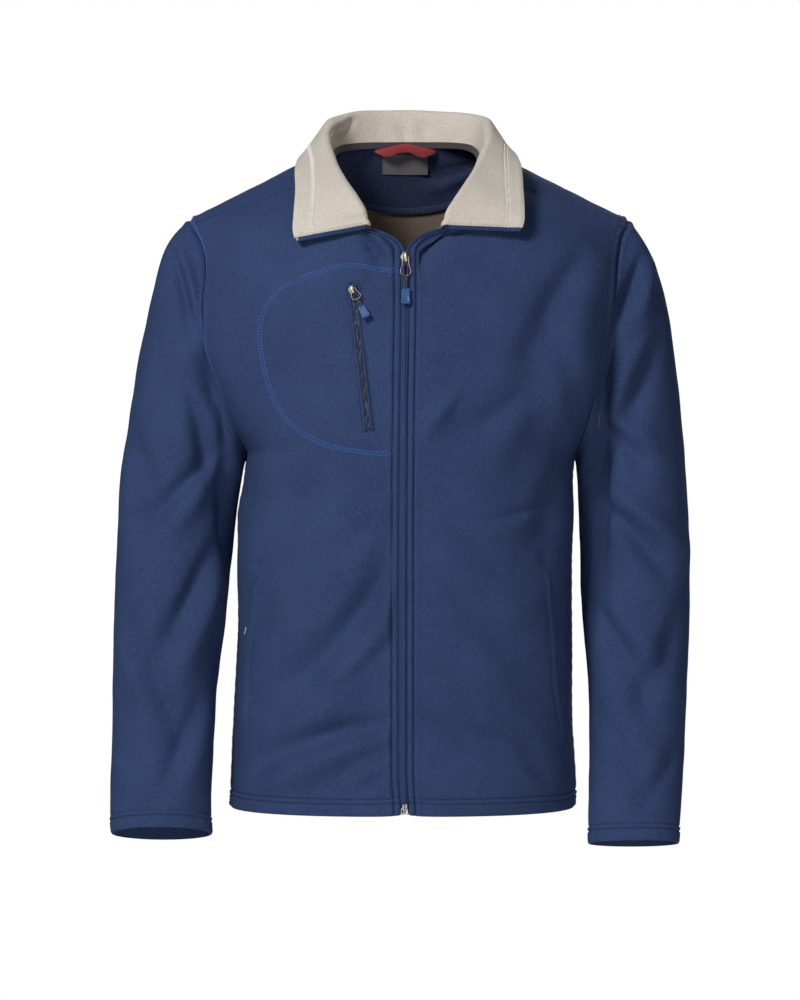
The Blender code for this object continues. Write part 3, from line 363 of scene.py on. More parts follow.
def row_ends(kind, side, at):
    """The middle and the side end of a panel's rows, and how flat they are, on the right or left."""
    low, high = table(TORSO), table(FRONT_YOKE if kind == "front" else BACK_YOKE)
    high_at = at[at > UNDERARM_ROW] - UNDERARM_ROW
    low_at = at[at <= UNDERARM_ROW]
    z = smooth(low["z"], low_at)
    edge = np.full(len(low_at), high["mid_x"][0])
    low_mid = np.stack([edge, smooth(low[kind + "_y"], low_at), z], axis=1)
    low_side = np.stack([smooth(low[side + "_x"], low_at), smooth(low["side_y"], low_at), z], axis=1)
    high_mid = np.stack([smooth(high[c], high_at) for c in ("mid_x", "mid_y", "mid_z")], axis=1)
    high_side = np.stack([smooth(high[c], high_at) for c in (side + "_x", "side_y", "side_z")], axis=1)
    flat = np.concatenate([np.zeros(len(low_at)), smooth(high["flat"], high_at)])
    return np.vstack([low_mid, high_mid]), np.vstack([low_side, high_side]), flat


def even_rows(kind, start, end, step):
    """Fractional rows from start to end about a step apart on the cloth, without the last."""
    at = np.linspace(start, end, 300)
    middle, side_end, _ = row_ends(kind, "right", at)
    lengths = [np.linalg.norm(np.diff(line, axis=0), axis=1) for line in (middle, side_end)]
    along = np.concatenate([[0], np.cumsum(sum(lengths) / 2)])
    count = max(2, int(round(along[-1] / step)))
    return np.interp(np.linspace(0, along[-1], count + 1)[:-1], along, at)


ROW_STEP, HEM_STEP, V_STEP = 0.0042, 0.0011, 0.0024
FRONT_NECK_STEP, BACK_NECK_STEP = 0.0036, 0.0034
HEM_END = 1.06  # the fractional row up to which rows lie close, for the hem's stitches
HEM_ROWS = even_rows("front", 0, HEM_END, HEM_STEP)
CUFF_ROWS = 24
V_AT, FRONT_NECK_AT, FRONT_TOP_AT = (UNDERARM_ROW + row for row in (V_ROW, FRONT_NECK_ROW, FRONT_TOP_ROW))
BACK_NECK_AT, BACK_TOP_AT = UNDERARM_ROW + BACK_NECK_ROW, UNDERARM_ROW + BACK_TOP_ROW
FRONT_PARTS = (
    (HEM_END, UNDERARM_ROW, ROW_STEP),
    (UNDERARM_ROW, V_AT, ROW_STEP),
    (V_AT, FRONT_NECK_AT, V_STEP),
    (FRONT_NECK_AT, FRONT_TOP_AT, FRONT_NECK_STEP),
)
BACK_PARTS = ((UNDERARM_ROW, BACK_NECK_AT, ROW_STEP), (BACK_NECK_AT, BACK_TOP_AT, BACK_NECK_STEP))
FRONT_AT = np.concatenate([HEM_ROWS, *(even_rows("front", *part) for part in FRONT_PARTS), [FRONT_TOP_AT]])
below_arm = FRONT_AT[FRONT_AT < UNDERARM_ROW]
BACK_AT = np.concatenate([below_arm, *(even_rows("back", *part) for part in BACK_PARTS), [BACK_TOP_AT]])
first_row = {
    "underarm": int(np.argmax(FRONT_AT >= UNDERARM_ROW)),
    "back_underarm": int(np.argmax(BACK_AT >= UNDERARM_ROW)),
    "front_neck": int(np.argmax(FRONT_AT >= FRONT_NECK_AT)),
    "back_neck": int(np.argmax(BACK_AT >= BACK_NECK_AT)),
}

# Places across a row, as shares of it. They lie close at its two ends, for the stitches beside the zip
# and the side seam, and rather close on the outer half of a front, for its pocket.
FINE_END = np.array(
    [0, 0.0015, 0.003, 0.0065, 0.010, 0.0135, 0.016, 0.0173, 0.0184, 0.0195]
    + [0.0208, 0.0235, 0.0265, 0.030, 0.0335, 0.038, 0.044, 0.051, 0.059]
)
ACROSS = {
    "front": np.concatenate(
        [FINE_END, np.linspace(0.07, 0.58, 30), np.linspace(0.59, 0.935, 48), 1 - FINE_END[::-1]]
    ),
    "back": np.concatenate([FINE_END, np.linspace(0.07, 0.93, 58), 1 - FINE_END[::-1]]),
}
FULLNESS = 0.66  # of a row's corner: 0.55 is an ellipse
SIDE_FULLNESS = 0.3  # the share of it that also lifts the row by its side end


def panel(kind, side):
    """The points of a front, or of half of the back."""
    at = FRONT_AT if kind == "front" else BACK_AT
    middle, side_end, flat = row_ends(kind, side, at)
    m, s, flat, u = middle[:, None], side_end[:, None], flat[:, None, None], ACROSS[kind][None, :, None]
    handle_m, handle_s = m.copy(), s.copy()
    handle_m[..., 0] += FULLNESS * (s - m)[..., 0]
    handle_s[..., 1] += FULLNESS * (m - s)[..., 1]
    handle_s[..., 2] += FULLNESS * SIDE_FULLNESS * (m - s)[..., 2]
    v = 1 - u
    round_row = m * v**3 + 3 * handle_m * u * v**2 + 3 * handle_s * u**2 * v + s * u**3
    points = round_row * (1 - flat) + (m + (s - m) * u) * flat
    points[..., 0] *= -1 if side == "right" else 1
    return points


HEAD_END, CUFF_DEEP = 0.6, 1.1  # rows of the table with rings of their own spacing, at either end
EVEN_FROM = 6  # the row from which points lie evenly round a ring
HEAD_FADE = 2.2  # the row down to which the armhole's own outline is felt


def sleeve(side, armhole):
    """Rings of points from the armhole's seam to the cuff."""
    t = table(SLEEVES[side])
    last = len(t["lean"]) - 1
    head = np.linspace(0, HEAD_END, 8)
    arm = np.linspace(HEAD_END, last - CUFF_DEEP, 128)
    cuff = np.linspace(last - CUFF_DEEP, last, CUFF_ROWS)
    at = np.concatenate([head[:-1], arm[:-1], cuff])
    col = {name: smooth(values, at) for name, values in t.items()}
    sign = -1 if side == "right" else 1
    outer = np.stack([sign * col["out_x"], col["mid_y"], col["out_z"]], axis=1)
    inner = np.stack([sign * col["in_x"], col["mid_y"], col["in_z"]], axis=1)
    centre, reach = (outer + inner) / 2, (outer - inner) / 2
    lean = np.radians(col["lean"])
    front = np.stack([0 * lean, -np.cos(lean), np.sin(lean)], axis=1) * col["depth"][:, None]
    from_centre = armhole - centre[0]
    along = from_centre @ reach[0] / (reach[0] @ reach[0])
    across = from_centre @ front[0] / (front[0] @ front[0])
    start = np.unwrap(np.arctan2(across, along))
    even = start[0] + np.arange(len(start)) * (2 * pi / len(start)) * np.sign(start[-1] - start[0])
    ease = np.clip(at / EVEN_FROM, 0, 1)[:, None]
    angle = (start[None] * (1 - ease) + even[None] * ease)[..., None]
    rings = centre[:, None] + np.cos(angle) * reach[:, None] + np.sin(angle) * front[:, None]
    # the armhole isn't quite on an ellipse, and its difference fades along the sleeve's head
    rings += (armhole - rings[0])[None] * (np.clip(1 - at / HEAD_FADE, 0, 1) ** 2)[:, None, None]
    return rings


def grid_normals(points, wrap=False):
    """Normals of a grid, with its columns joined in a ring if wrap is true."""
    across = np.gradient(points, axis=1)
    if wrap:
        across = (np.roll(points, -1, axis=1) - np.roll(points, 1, axis=1)) / 2
    return unit(np.cross(across, np.gradient(points, axis=0)))


def run(points, axis, reverse=False):
    """The distance of each point along its row or column, from its first or last point."""
    steps = np.linalg.norm(np.diff(points, axis=axis), axis=-1)
    zero = np.zeros_like(np.take(steps, [0], axis=axis))
    length = np.concatenate([zero, np.cumsum(steps, axis=axis)], axis=axis)
    return np.take(length, [-1], axis=axis) - length if reverse else length


RIDGE_AWAY, RIDGE_WIDTH = 1.9, 1.1  # in widths of the fold


def fold_rise(points, rows):
    """How far folds lift each point, from where it lies in the front view.

    A fold widens towards its end and is shallower at both ends, and past them it soon dies away.
    """
    rise = np.zeros(points.shape[:-1])
    flat = points[..., [0, 2]]
    for x0, z0, x1, z1, depth, width, bend, ridge, side in rows:
        start, line = np.array([x0, z0]), np.array([x1 - x0, z1 - z0])
        length = np.linalg.norm(line)
        t = (flat - start) @ line / length**2
        away = (flat - start) @ (np.array([-line[1], line[0]]) / length)
        along = np.clip(t, 0, 1)
        away = away - bend * 4 * along * (1 - along)
        past = np.abs(t - along) * length
        taper = np.sin(pi * np.clip(0.08 + 0.84 * along, 0, 1)) * bell(past, width)
        wide = width * (0.7 + 0.6 * along)
        trough = bell(away, wide) - ridge * bell(away - side * RIDGE_AWAY * wide, wide * RIDGE_WIDTH)
        rise -= depth * taper * trough
    return rise


WAVES, WAVES_PEAK = 9, 5  # how many waves are added up, and about how high they come together


def unevenness(points, size, seed):
    """A soft wandering height, about 1 at most, with waves of a size in metres."""
    rng = np.random.default_rng(seed)
    total = np.zeros(points.shape[:-1])
    for _ in range(WAVES):
        direction = unit(rng.normal(size=3)) * rng.uniform(0.6, 1.4)
        total += np.sin(points @ direction * 2 * pi / size + rng.uniform(0, 2 * pi))
    return total / WAVES_PEAK


def cloth_mesh(name, walls, materials, wrap=False, turned=()):
    """One closed mesh of walls, each an outer and an inner grid and the rows joined to the next.

    The rows in turned, where the cloth is folded in, show its outside on both faces.
    """
    bm = bmesh.new()
    for outer, inner, joined in walls:
        rows, columns = outer.shape[:2]
        sheets = [[bm.verts.new(p) for p in grid.reshape(-1, 3)] for grid in (outer, inner)]
        corner = np.arange(rows * columns).reshape(rows, columns)
        if wrap:
            corner = np.hstack([corner, corner[:, :1]])
        for which, sheet in enumerate(sheets):
            for row, (low, high) in enumerate(zip(corner[:-1].tolist(), corner[1:].tolist())):
                for a, b, c, d in zip(low, low[1:], high[1:], high):
                    face = bm.faces.new((sheet[a], sheet[b], sheet[c], sheet[d]))
                    face.material_index = 0 if row in turned else which
        rims = [corner[0], corner[-1]] + ([] if wrap else [corner[joined:, 0], corner[:, -1]])
        for rim in rims:
            for a, b in zip(rim.tolist(), rim[1:].tolist()):
                bm.faces.new((sheets[0][a], sheets[0][b], sheets[1][b], sheets[1][a]))
    if len(walls) > 1:
        bmesh.ops.remove_doubles(bm, verts=bm.verts, dist=1e-6)
    return finish_mesh(name, bm, materials)


def finish_mesh(name, bm, materials, sharp=50, body="jacket"):
    """Makes an object of a mesh, shaded smooth but for its sharp edges, that moves with a body."""
    bmesh.ops.recalc_face_normals(bm, faces=bm.faces)
    mesh = bpy.data.meshes.new(name)
    bm.to_mesh(mesh)
    bm.free()
    for mat in materials:
        mesh.materials.append(mat)
    mesh.shade_smooth()
    mesh.set_sharp_from_angle(angle=radians(sharp))
    piece = bpy.data.objects.new(name, mesh)
    scene.collection.objects.link(piece)
    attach(piece, body)
    return piece


def noise(tree, place, per_metre, detail=2.0, roughness=0.5):
    """Soft noise of 0 to 1, with about per_metre waves in a metre."""
    inputs = {"Vector": place, "Scale": per_metre, "Detail": detail, "Roughness": roughness}
    return node(tree, "ShaderNodeTexNoise", inputs).outputs["Fac"]


def colour_times(tree, shader, colour, tone):
    """Gives a shader a colour, lighter and darker with a tone."""
    tinted = node(tree, "ShaderNodeVectorMath", {0: linear(colour)[:3], "Scale": tone}, operation="SCALE")
    tree.links.new(tinted.outputs[0], shader.inputs["Base Color"])


def bump_by(tree, shader, height, distance):
    """Bumps a shader's surface by a height, times a distance in metres."""
    bump = node(tree, "ShaderNodeBump", {"Height": height, "Distance": distance})
    tree.links.new(bump.outputs[0], shader.inputs["Normal"])


def object_place(tree):
    """The place on a piece that patterns are laid by."""
    return node(tree, "ShaderNodeTexCoord").outputs["Object"]


CLOUD_MM, CLOUD_TONE = 62.5, 0.055  # of the nap's soft patches: their size and their strength


def fleece(name, colour, nap_mm, spread, sheen, depth):
    """Brushed polyester fleece: a matt nap, a little lighter at its tips and uneven over a hand's width."""
    mat, tree, shader = new_material(name, colour, 0.95, Sheen_Weight=sheen, Sheen_Roughness=0.5)
    shader.inputs["Specular IOR Level"].default_value = 0.1
    shader.inputs["Sheen Tint"].default_value = linear(colour)
    place = object_place(tree)
    nap = noise(tree, place, 1000 / nap_mm, roughness=0.6)
    cloud = {"Value": noise(tree, place, 1000 / CLOUD_MM), "From Min": 0.3, "From Max": 0.7}
    soft = node(tree, "ShaderNodeMapRange", {**cloud, "To Min": -CLOUD_TONE, "To Max": CLOUD_TONE})
    tips = node(tree, "ShaderNodeMath", {0: nap, 1: soft.outputs[0]}, operation="ADD")
    reach = {"From Min": 0.3, "From Max": 0.7, "To Min": 1 - spread, "To Max": 1 + spread}
    tone = node(tree, "ShaderNodeMapRange", {"Value": tips.outputs[0], **reach})
    colour_times(tree, shader, colour, tone.outputs[0])
    bump_by(tree, shader, nap, depth)
    return mat


navy_fleece = fleece("brushed_fleece_navy", "#384970", 1.4, 0.30, 0.08, 0.0008)
beige_fleece = fleece("brushed_fleece_beige", "#DED5C9", 1.6, 0.13, 0.08, 0.0009)
# the inside is beige fleece, coloured a darker taupe here as painted shade inside the jacket
inside_fleece_painted_shade = fleece("fleece_back_painted_shade", "#85776B", 1.5, 0.16, 0.05, 0.0006)

seams = {}
for side in ("right", "left"):
    front, back = panel("front", side), panel("back", side)
    up_front = front[first_row["underarm"] :, -1]
    down_back = back[first_row["back_underarm"] :, -1][-2:0:-1]
    armhole = np.vstack([up_front, down_back])
    seams["front_" + side] = front
    seams["back_" + side] = back
    seams["sleeve_" + side] = sleeve(side, armhole)

# The fronts' edges on the zip, and how far each is pulled to the wearer's right of its place. They wander
# a little with the cloth, come back to the middle at the hem, and part from the slider up.
LIP_PATH = """
z        right    left
-0.1780  -0.0007   0.0000
-0.2600  -0.0019  -0.0016
-0.3500  -0.0029  -0.0024
-0.4400  -0.0036  -0.0027
-0.6640  -0.0036  -0.0027
-0.6960  -0.0012  -0.0008
"""
LIP_FADE = 0.030  # how far across the front that is felt
PARTED_FROM, PARTED_AT = -0.1260, -0.1100  # the heights between which the fronts part
CORNER_RISE, CORNER_WIDTH, CORNER_HEIGHT = 0.0020, 0.011, 0.022  # of the hem's corners beside the zip
lip_path = table(LIP_PATH)
for side in ("right", "left"):
    points = seams["front_" + side]
    height, across = points[:, :1, 2].copy(), run(points, 1)
    closed = np.clip((PARTED_AT - height) / (PARTED_AT - PARTED_FROM), 0, 1)
    pulled = np.interp(-height, -lip_path["z"], lip_path[side])
    points[..., 0] += pulled * closed * np.exp(-across / LIP_FADE)
    from_foot = height - height[0]
    points[..., 2] += CORNER_RISE * np.exp(-across / CORNER_WIDTH - from_foot / CORNER_HEIGHT)

# Each hand pocket opens on a line down the side of the front, from its top to its foot in the front
# view. The cloth in front of it stands up in a lip over the cloth behind.
HAND_POCKETS = {
    "front_right": """
x        z
-0.1520  -0.4560
-0.1600  -0.4700
-0.1687  -0.5078
-0.1712  -0.5700
-0.1729  -0.6258
""",
    "front_left": """
x        z
0.1510   -0.4540
0.1534   -0.4631
0.1558   -0.5156
0.1615   -0.5711
0.1679   -0.6153
0.1696   -0.6320
""",
}
POCKET_LIP, LIP_REACH = 0.0028, 0.007  # how high the cloth in front stands, and how far from the line
POCKET_DROP, DROP_REACH = 0.0026, 0.006  # the same for how deep the cloth behind lies
POCKET_EDGE, POCKET_END = 0.0004, 0.004  # how soft the step is, and its length from nothing at an end
POCKET_SEAM, SEAM_SUNK, SUNK_WIDTH = 0.0062, 0.0008, 0.0012  # a sewn groove in front of the line
POCKET_DIMPLES = {"front_right": (-0.1530, -0.4440), "front_left": (0.1470, -0.4380)}
DIMPLE_DEPTH, DIMPLE_WIDTH = 0.0028, 0.0065  # where the pocket's top is tacked down


def pocket_rise(points, name):
    """How far a hand pocket's opening lifts or drops each point of a front."""
    line = table(HAND_POCKETS[name])
    x, z = np.abs(points[..., 0]), points[..., 2]
    behind = x - np.interp(-z, -line["z"], np.abs(line["x"]))
    from_ends = (line["z"][0] - z) / POCKET_END, (z - line["z"][-1]) / POCKET_END
    ends = np.clip(from_ends[0], 0, 1) * np.clip(from_ends[1], 0, 1)
    lip = POCKET_LIP * np.exp(np.minimum(behind, 0) / LIP_REACH) / (1 + np.exp(behind / POCKET_EDGE))
    drop = POCKET_DROP * np.exp(-np.maximum(behind, 0) / DROP_REACH) / (1 + np.exp(-behind / POCKET_EDGE))
    sewn = SEAM_SUNK * bell(behind + POCKET_SEAM, SUNK_WIDTH) * ends
    dimple_x, dimple_z = POCKET_DIMPLES[name]
    away = np.hypot(points[..., 0] - dimple_x, (z - dimple_z) * 0.8)
    return (lip - drop) * ends - sewn - DIMPLE_DEPTH * bell(away, DIMPLE_WIDTH)


TORSO_CENTRE = np.array([0.0, 0.0, -0.35])  # normals point away from it
SEAM_DIP, SEAM_WIDTH = 0.0022, 0.0024
SEAM_ROLL, ROLL_AWAY, ROLL_WIDTH = 0.0011, 0.0055, 0.0032
PUCKER, PUCKER_AWAY, PUCKER_WIDTH = 0.00022, 0.004, 0.006
EDGE_STRIP = 0.0067  # width of the strip sewn down along the front zip
HEM_STITCHES = (0.0125, 0.0177)  # how far the rows lie from the edge
CUFF_STITCHES = (0.0130, 0.0182)
HEM_RAISE, HEM_SOFT = 0.0009, 0.0010  # how far the double cloth stands up, and how soft its step is
HEM_ROUND, HEM_ROUND_WIDTH = 0.0010, 0.0012  # of its rounded edge
STITCH_DIP, STITCH_WIDTH = 0.0015, 0.0010
HEM_PUCKER, HEM_PUCKER_WIDTH = 0.00025, 0.008


def puckers(along, length, drift, drift_length):
    """Waves of -1 to 1 along a seam, whose spacing drifts."""
    return np.sin(along * 2 * pi / length + drift * np.sin(along * 2 * pi / drift_length))


def seam_profile(distance, along):
    """A sewn seam: a trough, a roll of cloth beside it, and small puckers along it."""
    return (
        -SEAM_DIP * bell(distance, SEAM_WIDTH)
        + SEAM_ROLL * bell(distance - ROLL_AWAY, ROLL_WIDTH)
        + PUCKER * puckers(along, 0.013, 1.7, 0.09) * bell(distance - PUCKER_AWAY, PUCKER_WIDTH)
    )


def turned_edge(distance, along, rows):
    """A turned hem: double thickness up to its stitches, which pull it in."""
    past_rows = np.minimum((distance - rows[1]) / HEM_SOFT, 60)  # in the range that exp takes
    pucker = puckers(along, 0.011, 2.0, 0.07)
    rise = HEM_RAISE / (1 + np.exp(past_rows)) - HEM_ROUND * bell(distance, HEM_ROUND_WIDTH)
    for row in rows:
        rise = rise - STITCH_DIP * bell(distance - row, STITCH_WIDTH) * (1 + 0.25 * pucker)
    return rise + HEM_PUCKER * pucker * bell(distance - rows[0], HEM_PUCKER_WIDTH)


outer_grids, inner_grids, grid_facing = {}, {}, {}
for name, points in seams.items():
    is_sleeve = name.startswith("sleeve")
    facing = grid_normals(points, is_sleeve)
    centre = points.mean(axis=1, keepdims=True) if is_sleeve else TORSO_CENTRE
    if ((points - centre) * facing).sum() < 0:
        facing = -facing
    if name.startswith("back"):
        facing[: first_row["back_neck"] + 1, 0, 0] = 0
        facing = unit(facing)
    grid_facing[name] = facing

# Points on a seam take a normal between their neighbours', so that the walls meet.
shared = {}
for name, points in seams.items():
    border = {(i, j) for i in (0, len(points) - 1) for j in range(points.shape[1])}
    if not name.startswith("sleeve"):
        border |= {(i, j) for i in range(len(points)) for j in (0, points.shape[1] - 1)}
    for index in border:
        shared.setdefault(tuple(np.round(points[index], 6) + 0.0), []).append((name, index))
own = {name: facing.copy() for name, facing in grid_facing.items()}
for places in shared.values():
    for name, index in places if len(places) > 1 else ():
        total = own[name][index].copy()
        for other, at in places:
            if (other, at) != (name, index):
                total += own[other][at] * min(max(own[name][index] @ own[other][at] + 0.5, 0), 1)
        grid_facing[name][index] = unit(total)

SEAM_FADE, EDGE_FADE, COLLAR_FADE = 0.020, 0.030, 0.012  # over which folds fade to a seam or an edge
ZIP_CLEAR, ZIP_FADE = 0.003, 0.008  # from the zip: where they end, and over how far they fade
UNEVEN = ((0.0010, 0.085, 3), (0.00035, 0.030, 5))  # heights, wave lengths and random seeds
INNER_DIP = 0.8  # the share of a seam's trough that the inner face follows
# The strip along the zip is full, and so is the cloth beside it, with a sewn groove between them. The
# strip's edge on the zip is rolled in.
STRIP_FULL, STRIP_WIDTH = 0.0007, 0.0026
BESIDE_FULL, BESIDE_AWAY = 0.0006, 0.004
GROOVE_DEPTH, GROOVE_WIDTH = 0.0022, 0.0009
EDGE_ROLL, EDGE_WIDTH = 0.0012, 0.0010
for name, points in seams.items():
    is_sleeve = name.startswith("sleeve")
    facing = grid_facing[name]
    folds = table(FOLDS["back" if name.startswith("back") else name])
    form = fold_rise(points, np.stack(list(folds.values()), axis=1))
    if is_sleeve:
        # the folds on the front of the arm show on its back as well, softer, and not at its edges
        back_facing = facing[..., 1]
        on_front, on_back = np.clip(-2.5 * back_facing, 0, 1), np.clip(1.6 * back_facing, 0, 0.75)
        form *= np.where(back_facing < 0, on_front, on_back)
    form += sum(height * unevenness(points, size, seed) for height, size, seed in UNEVEN)
    from_top, from_bottom = run(points, 0), run(points, 0, reverse=True)
    if is_sleeve:
        head, cuff = from_top, from_bottom
        ring = run(points, 1)
        form *= np.clip(head / SEAM_FADE, 0, 1) * np.clip(cuff / EDGE_FADE, 0.15, 1)
        detail = seam_profile(head, ring) + turned_edge(cuff, ring, CUFF_STITCHES)
    else:
        hem, top = from_top, from_bottom
        side_way, zip_way = run(points, 1, reverse=True), run(points, 1)
        neck_row = first_row["front_neck" if name.startswith("front") else "back_neck"]
        above_neck = np.arange(len(points))[:, None] > neck_row
        form *= np.clip(side_way / SEAM_FADE, 0, 1) * np.clip(top / SEAM_FADE, 0, 1)
        form *= np.clip(hem / EDGE_FADE, 0.2, 1)
        detail = seam_profile(side_way, hem) + turned_edge(hem, zip_way, HEM_STITCHES)
        if name.startswith("front"):
            form *= np.clip((zip_way - ZIP_CLEAR) / ZIP_FADE, 0, 1)
            form += pocket_rise(points, name)
            strip = STRIP_FULL * bell(zip_way - EDGE_STRIP * 0.5, STRIP_WIDTH)
            strip += BESIDE_FULL * bell(zip_way - EDGE_STRIP - BESIDE_AWAY, STRIP_WIDTH)
            groove = GROOVE_DEPTH * bell(zip_way - EDGE_STRIP, GROOVE_WIDTH)
            rolled = EDGE_ROLL * bell(zip_way, EDGE_WIDTH)
            detail = detail + np.where(above_neck, 0, strip - groove - rolled)
        detail += seam_profile(top, side_way) * above_neck
        # round the neck the cloth keeps to the line it shares with the collar
        by_collar = np.where(above_neck, np.clip(zip_way / COLLAR_FADE, 0, 1), 1)
        form, detail = form * by_collar, detail * by_collar
    outer_grids[name] = points + facing * (form + detail)[..., None]
    inner_grids[name] = points + facing * (form + INNER_DIP * np.minimum(detail, 0) - FLEECE)[..., None]

pair = [navy_fleece, inside_fleece_painted_shade]
for name in ("front_right", "front_left", "sleeve_right", "sleeve_left"):
    is_sleeve = name.startswith("sleeve")
    rows = len(outer_grids[name])
    turned = range(rows - CUFF_ROWS, rows) if is_sleeve else range(len(HEM_ROWS))
    walls = [(outer_grids[name], inner_grids[name], 0)]
    cloth_mesh(name + "_cloth", walls, pair, is_sleeve, turned)
    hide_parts(name)
halves = [(outer_grids[n], inner_grids[n], first_row["back_neck"]) for n in ("back_right", "back_left")]
cloth_mesh("back_cloth", halves, pair, turned=range(len(HEM_ROWS)))
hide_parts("back")

# ---- seams and topstitching ----------------------------------------------------------------
# The panels are joined with flat seams: two rows of textured polyester thread with a looper thread
# zigzagging between them. Hems, cuffs and zip edges are held by plain rows, sunk in the pile.

THREAD_LENGTH, THREAD_HALF = 0.0019, 0.00038  # of one stitch, and half its width


def read_at(at, places, rows):
    """Rows of values at new places, read along their own."""
    return np.stack([np.interp(at, places, rows[:, k]) for k in range(rows.shape[1])], axis=-1)


def line_at(values, distance, at, along_rows):
    """Where a grid's values lie at a distance, in each row, or in each column."""
    if not along_rows:
        values, distance = values.transpose(1, 0, 2), distance.T
    found = []
    for row, steps in zip(values, distance):
        order = np.argsort(steps)
        found.append(read_at(at, steps[order], row[order]))
    return np.array(found)


def paced(line, pitch):
    """A line's places, facings and directions, one in each pitch. Its rows are a place and a facing."""
    lengths = run(line[:, :3], 0)
    at = np.arange(pitch / 2, lengths[-1], pitch)
    values = read_at(at, lengths, line)
    ahead, behind = (read_at(at + way * pitch, lengths, line[:, :3]) for way in (0.3, -0.3))
    return values[:, :3], unit(values[:, 3:]), unit(ahead - behind)


BEAD_TURN = np.arange(6) * pi / 3
BEAD_POINTS = 14


def beads(places, facings, along, length=THREAD_LENGTH, half=THREAD_HALF, lift=0.0001):
    """Short rounded stitches of thread as points and faces, each pinched at its two ends."""
    side = unit(np.cross(along, facings))
    along = np.broadcast_to(along, places.shape)
    length = np.broadcast_to(length, len(places))[:, None]
    centre = places + facings * lift
    points = [centre - along * length / 2]
    for share in (-0.3, 0.3):
        for turn in BEAD_TURN:
            around = np.cos(turn) * side + np.sin(turn) * facings
            points.append(centre + along * length * share + half * around)
    points.append(centre + along * length / 2)
    faces = [(0, 1 + (k + 1) % 6, 1 + k) for k in range(6)]
    faces += [(1 + k, 1 + (k + 1) % 6, 7 + (k + 1) % 6, 7 + k) for k in range(6)]
    faces += [(13, 7 + k, 7 + (k + 1) % 6) for k in range(6)]
    return np.stack(points, axis=1), faces


def thread_piece(name, groups, mat):
    """One piece of all the stitches in some groups."""
    points, faces = [], []
    for shapes, pattern in groups:
        for shape in shapes:
            base = len(points) * BEAD_POINTS
            points.append(shape)
            faces += [tuple(base + k for k in face) for face in pattern]
    mesh = bpy.data.meshes.new(name)
    mesh.from_pydata(np.concatenate(points), [], faces)
    mesh.materials.append(mat)
    mesh.shade_smooth()
    piece = bpy.data.objects.new(name, mesh)
    scene.collection.objects.link(piece)
    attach(piece, "jacket")


def plain_row(line, pitch=0.0028, **size):
    """One row of stitches along a line."""
    return beads(*paced(line, pitch), **size)


def flat_seam(line_a, line_b, pitch=0.0026, size=THREAD_HALF, looper=0.5, lift=0.0002):
    """Two rows with a looper thread zigzagging between them, thinner by the share in looper."""
    groups = [beads(*paced(line, pitch), half=size, lift=lift) for line in (line_a, line_b)]
    count = min(len(groups[0][0]), len(groups[1][0]))
    centres = [g[0][:count].mean(axis=1) for g in groups]
    facing = paced(line_a, pitch)[1][:count]
    for first, second in ((centres[0], centres[1]), (centres[1][:-1], centres[0][1:])):
        span = second[: len(first)] - first[: len(second)]
        n = len(span)
        looped = {"length": np.linalg.norm(span, axis=1), "half": size * looper, "lift": lift * 0.4}
        groups.append(beads(first[:n] + span / 2, facing[:n], unit(span), **looped))
    return groups


def thread(name, colour):
    """Textured polyester thread: a soft sheen, and fine twists that break it up."""
    mat, tree, shader = new_material(name, colour, 0.55, Sheen_Weight=0.2)
    bump_by(tree, shader, noise(tree, object_place(tree), 2600.0, detail=1.0), 0.00015)
    return mat


navy_thread = thread("polyester_thread_navy", "#20305C")
blue_thread = thread("polyester_thread_blue", "#477AD2")
white_thread = thread("polyester_thread_white", "#FBF9F4")

with_facing = {name: np.concatenate([outer_grids[name], grid_facing[name]], axis=2) for name in seams}
SEAM_ROWS = (0.0016, 0.0060)  # how far the flat seam's rows lie from the join
SUNK = -0.00022  # how deep the plain rows lie in the pile
ARMHOLE_ROWS = {"right": (0.0012, 0.0056), "left": (0.0050, 0.0125)}  # the same for the armholes
ARMHOLE_HALF = {"right": 0.00042, "left": THREAD_HALF}
NECK_MARGIN = 12  # columns of the shoulder seam that lie under the collar
seam_stitches, bright_stitches = [], []
for side in ("right", "left"):
    front, back, arm = (with_facing[part + "_" + side] for part in ("front", "back", "sleeve"))
    front_side, back_side = run(front[..., :3], 1, True), run(back[..., :3], 1, True)
    over = []
    for at in ARMHOLE_ROWS[side]:
        up_front = line_at(front, front_side, at, True)[first_row["underarm"] :]
        down_back = line_at(back, back_side, at, True)[first_row["back_underarm"] :][::-1]
        over.append(np.vstack([up_front, down_back]))
    target = bright_stitches if side == "right" else seam_stitches
    target += flat_seam(*over, size=ARMHOLE_HALF[side])
    top_front = [line_at(front, run(front[..., :3], 0, True), at, False) for at in SEAM_ROWS]
    seam_stitches += flat_seam(*[line[NECK_MARGIN:] for line in top_front])
    side_rows = [line_at(front, front_side, at, True)[: first_row["underarm"]] for at in SEAM_ROWS]
    seam_stitches += flat_seam(*side_rows)
    for grid in (front, back):
        for at in HEM_STITCHES:
            seam_stitches.append(plain_row(line_at(grid, run(grid[..., :3], 0), at, False), lift=SUNK))
    for at in CUFF_STITCHES:
        ring = line_at(arm, run(arm[..., :3], 0, True), at, False)
        seam_stitches.append(plain_row(np.vstack([ring, ring[:1]]), lift=SUNK))
    edge_row = line_at(front, run(front[..., :3], 1), EDGE_STRIP, True)[: first_row["front_neck"]]
    seam_stitches.append(plain_row(edge_row, lift=SUNK))

thread_piece("seam_stitches", seam_stitches, navy_thread)
thread_piece("armhole_stitches_right", bright_stitches, blue_thread)

# ---- chest pocket --------------------------------------------------------------------------
# A pocket bag behind the right front is sewn through in a D with a bright flat seam. Its mouth is a
# slit with two turned lips over a reversed coil zip.


FROM_FRONT = -0.5  # the Y that the front's points are laid from


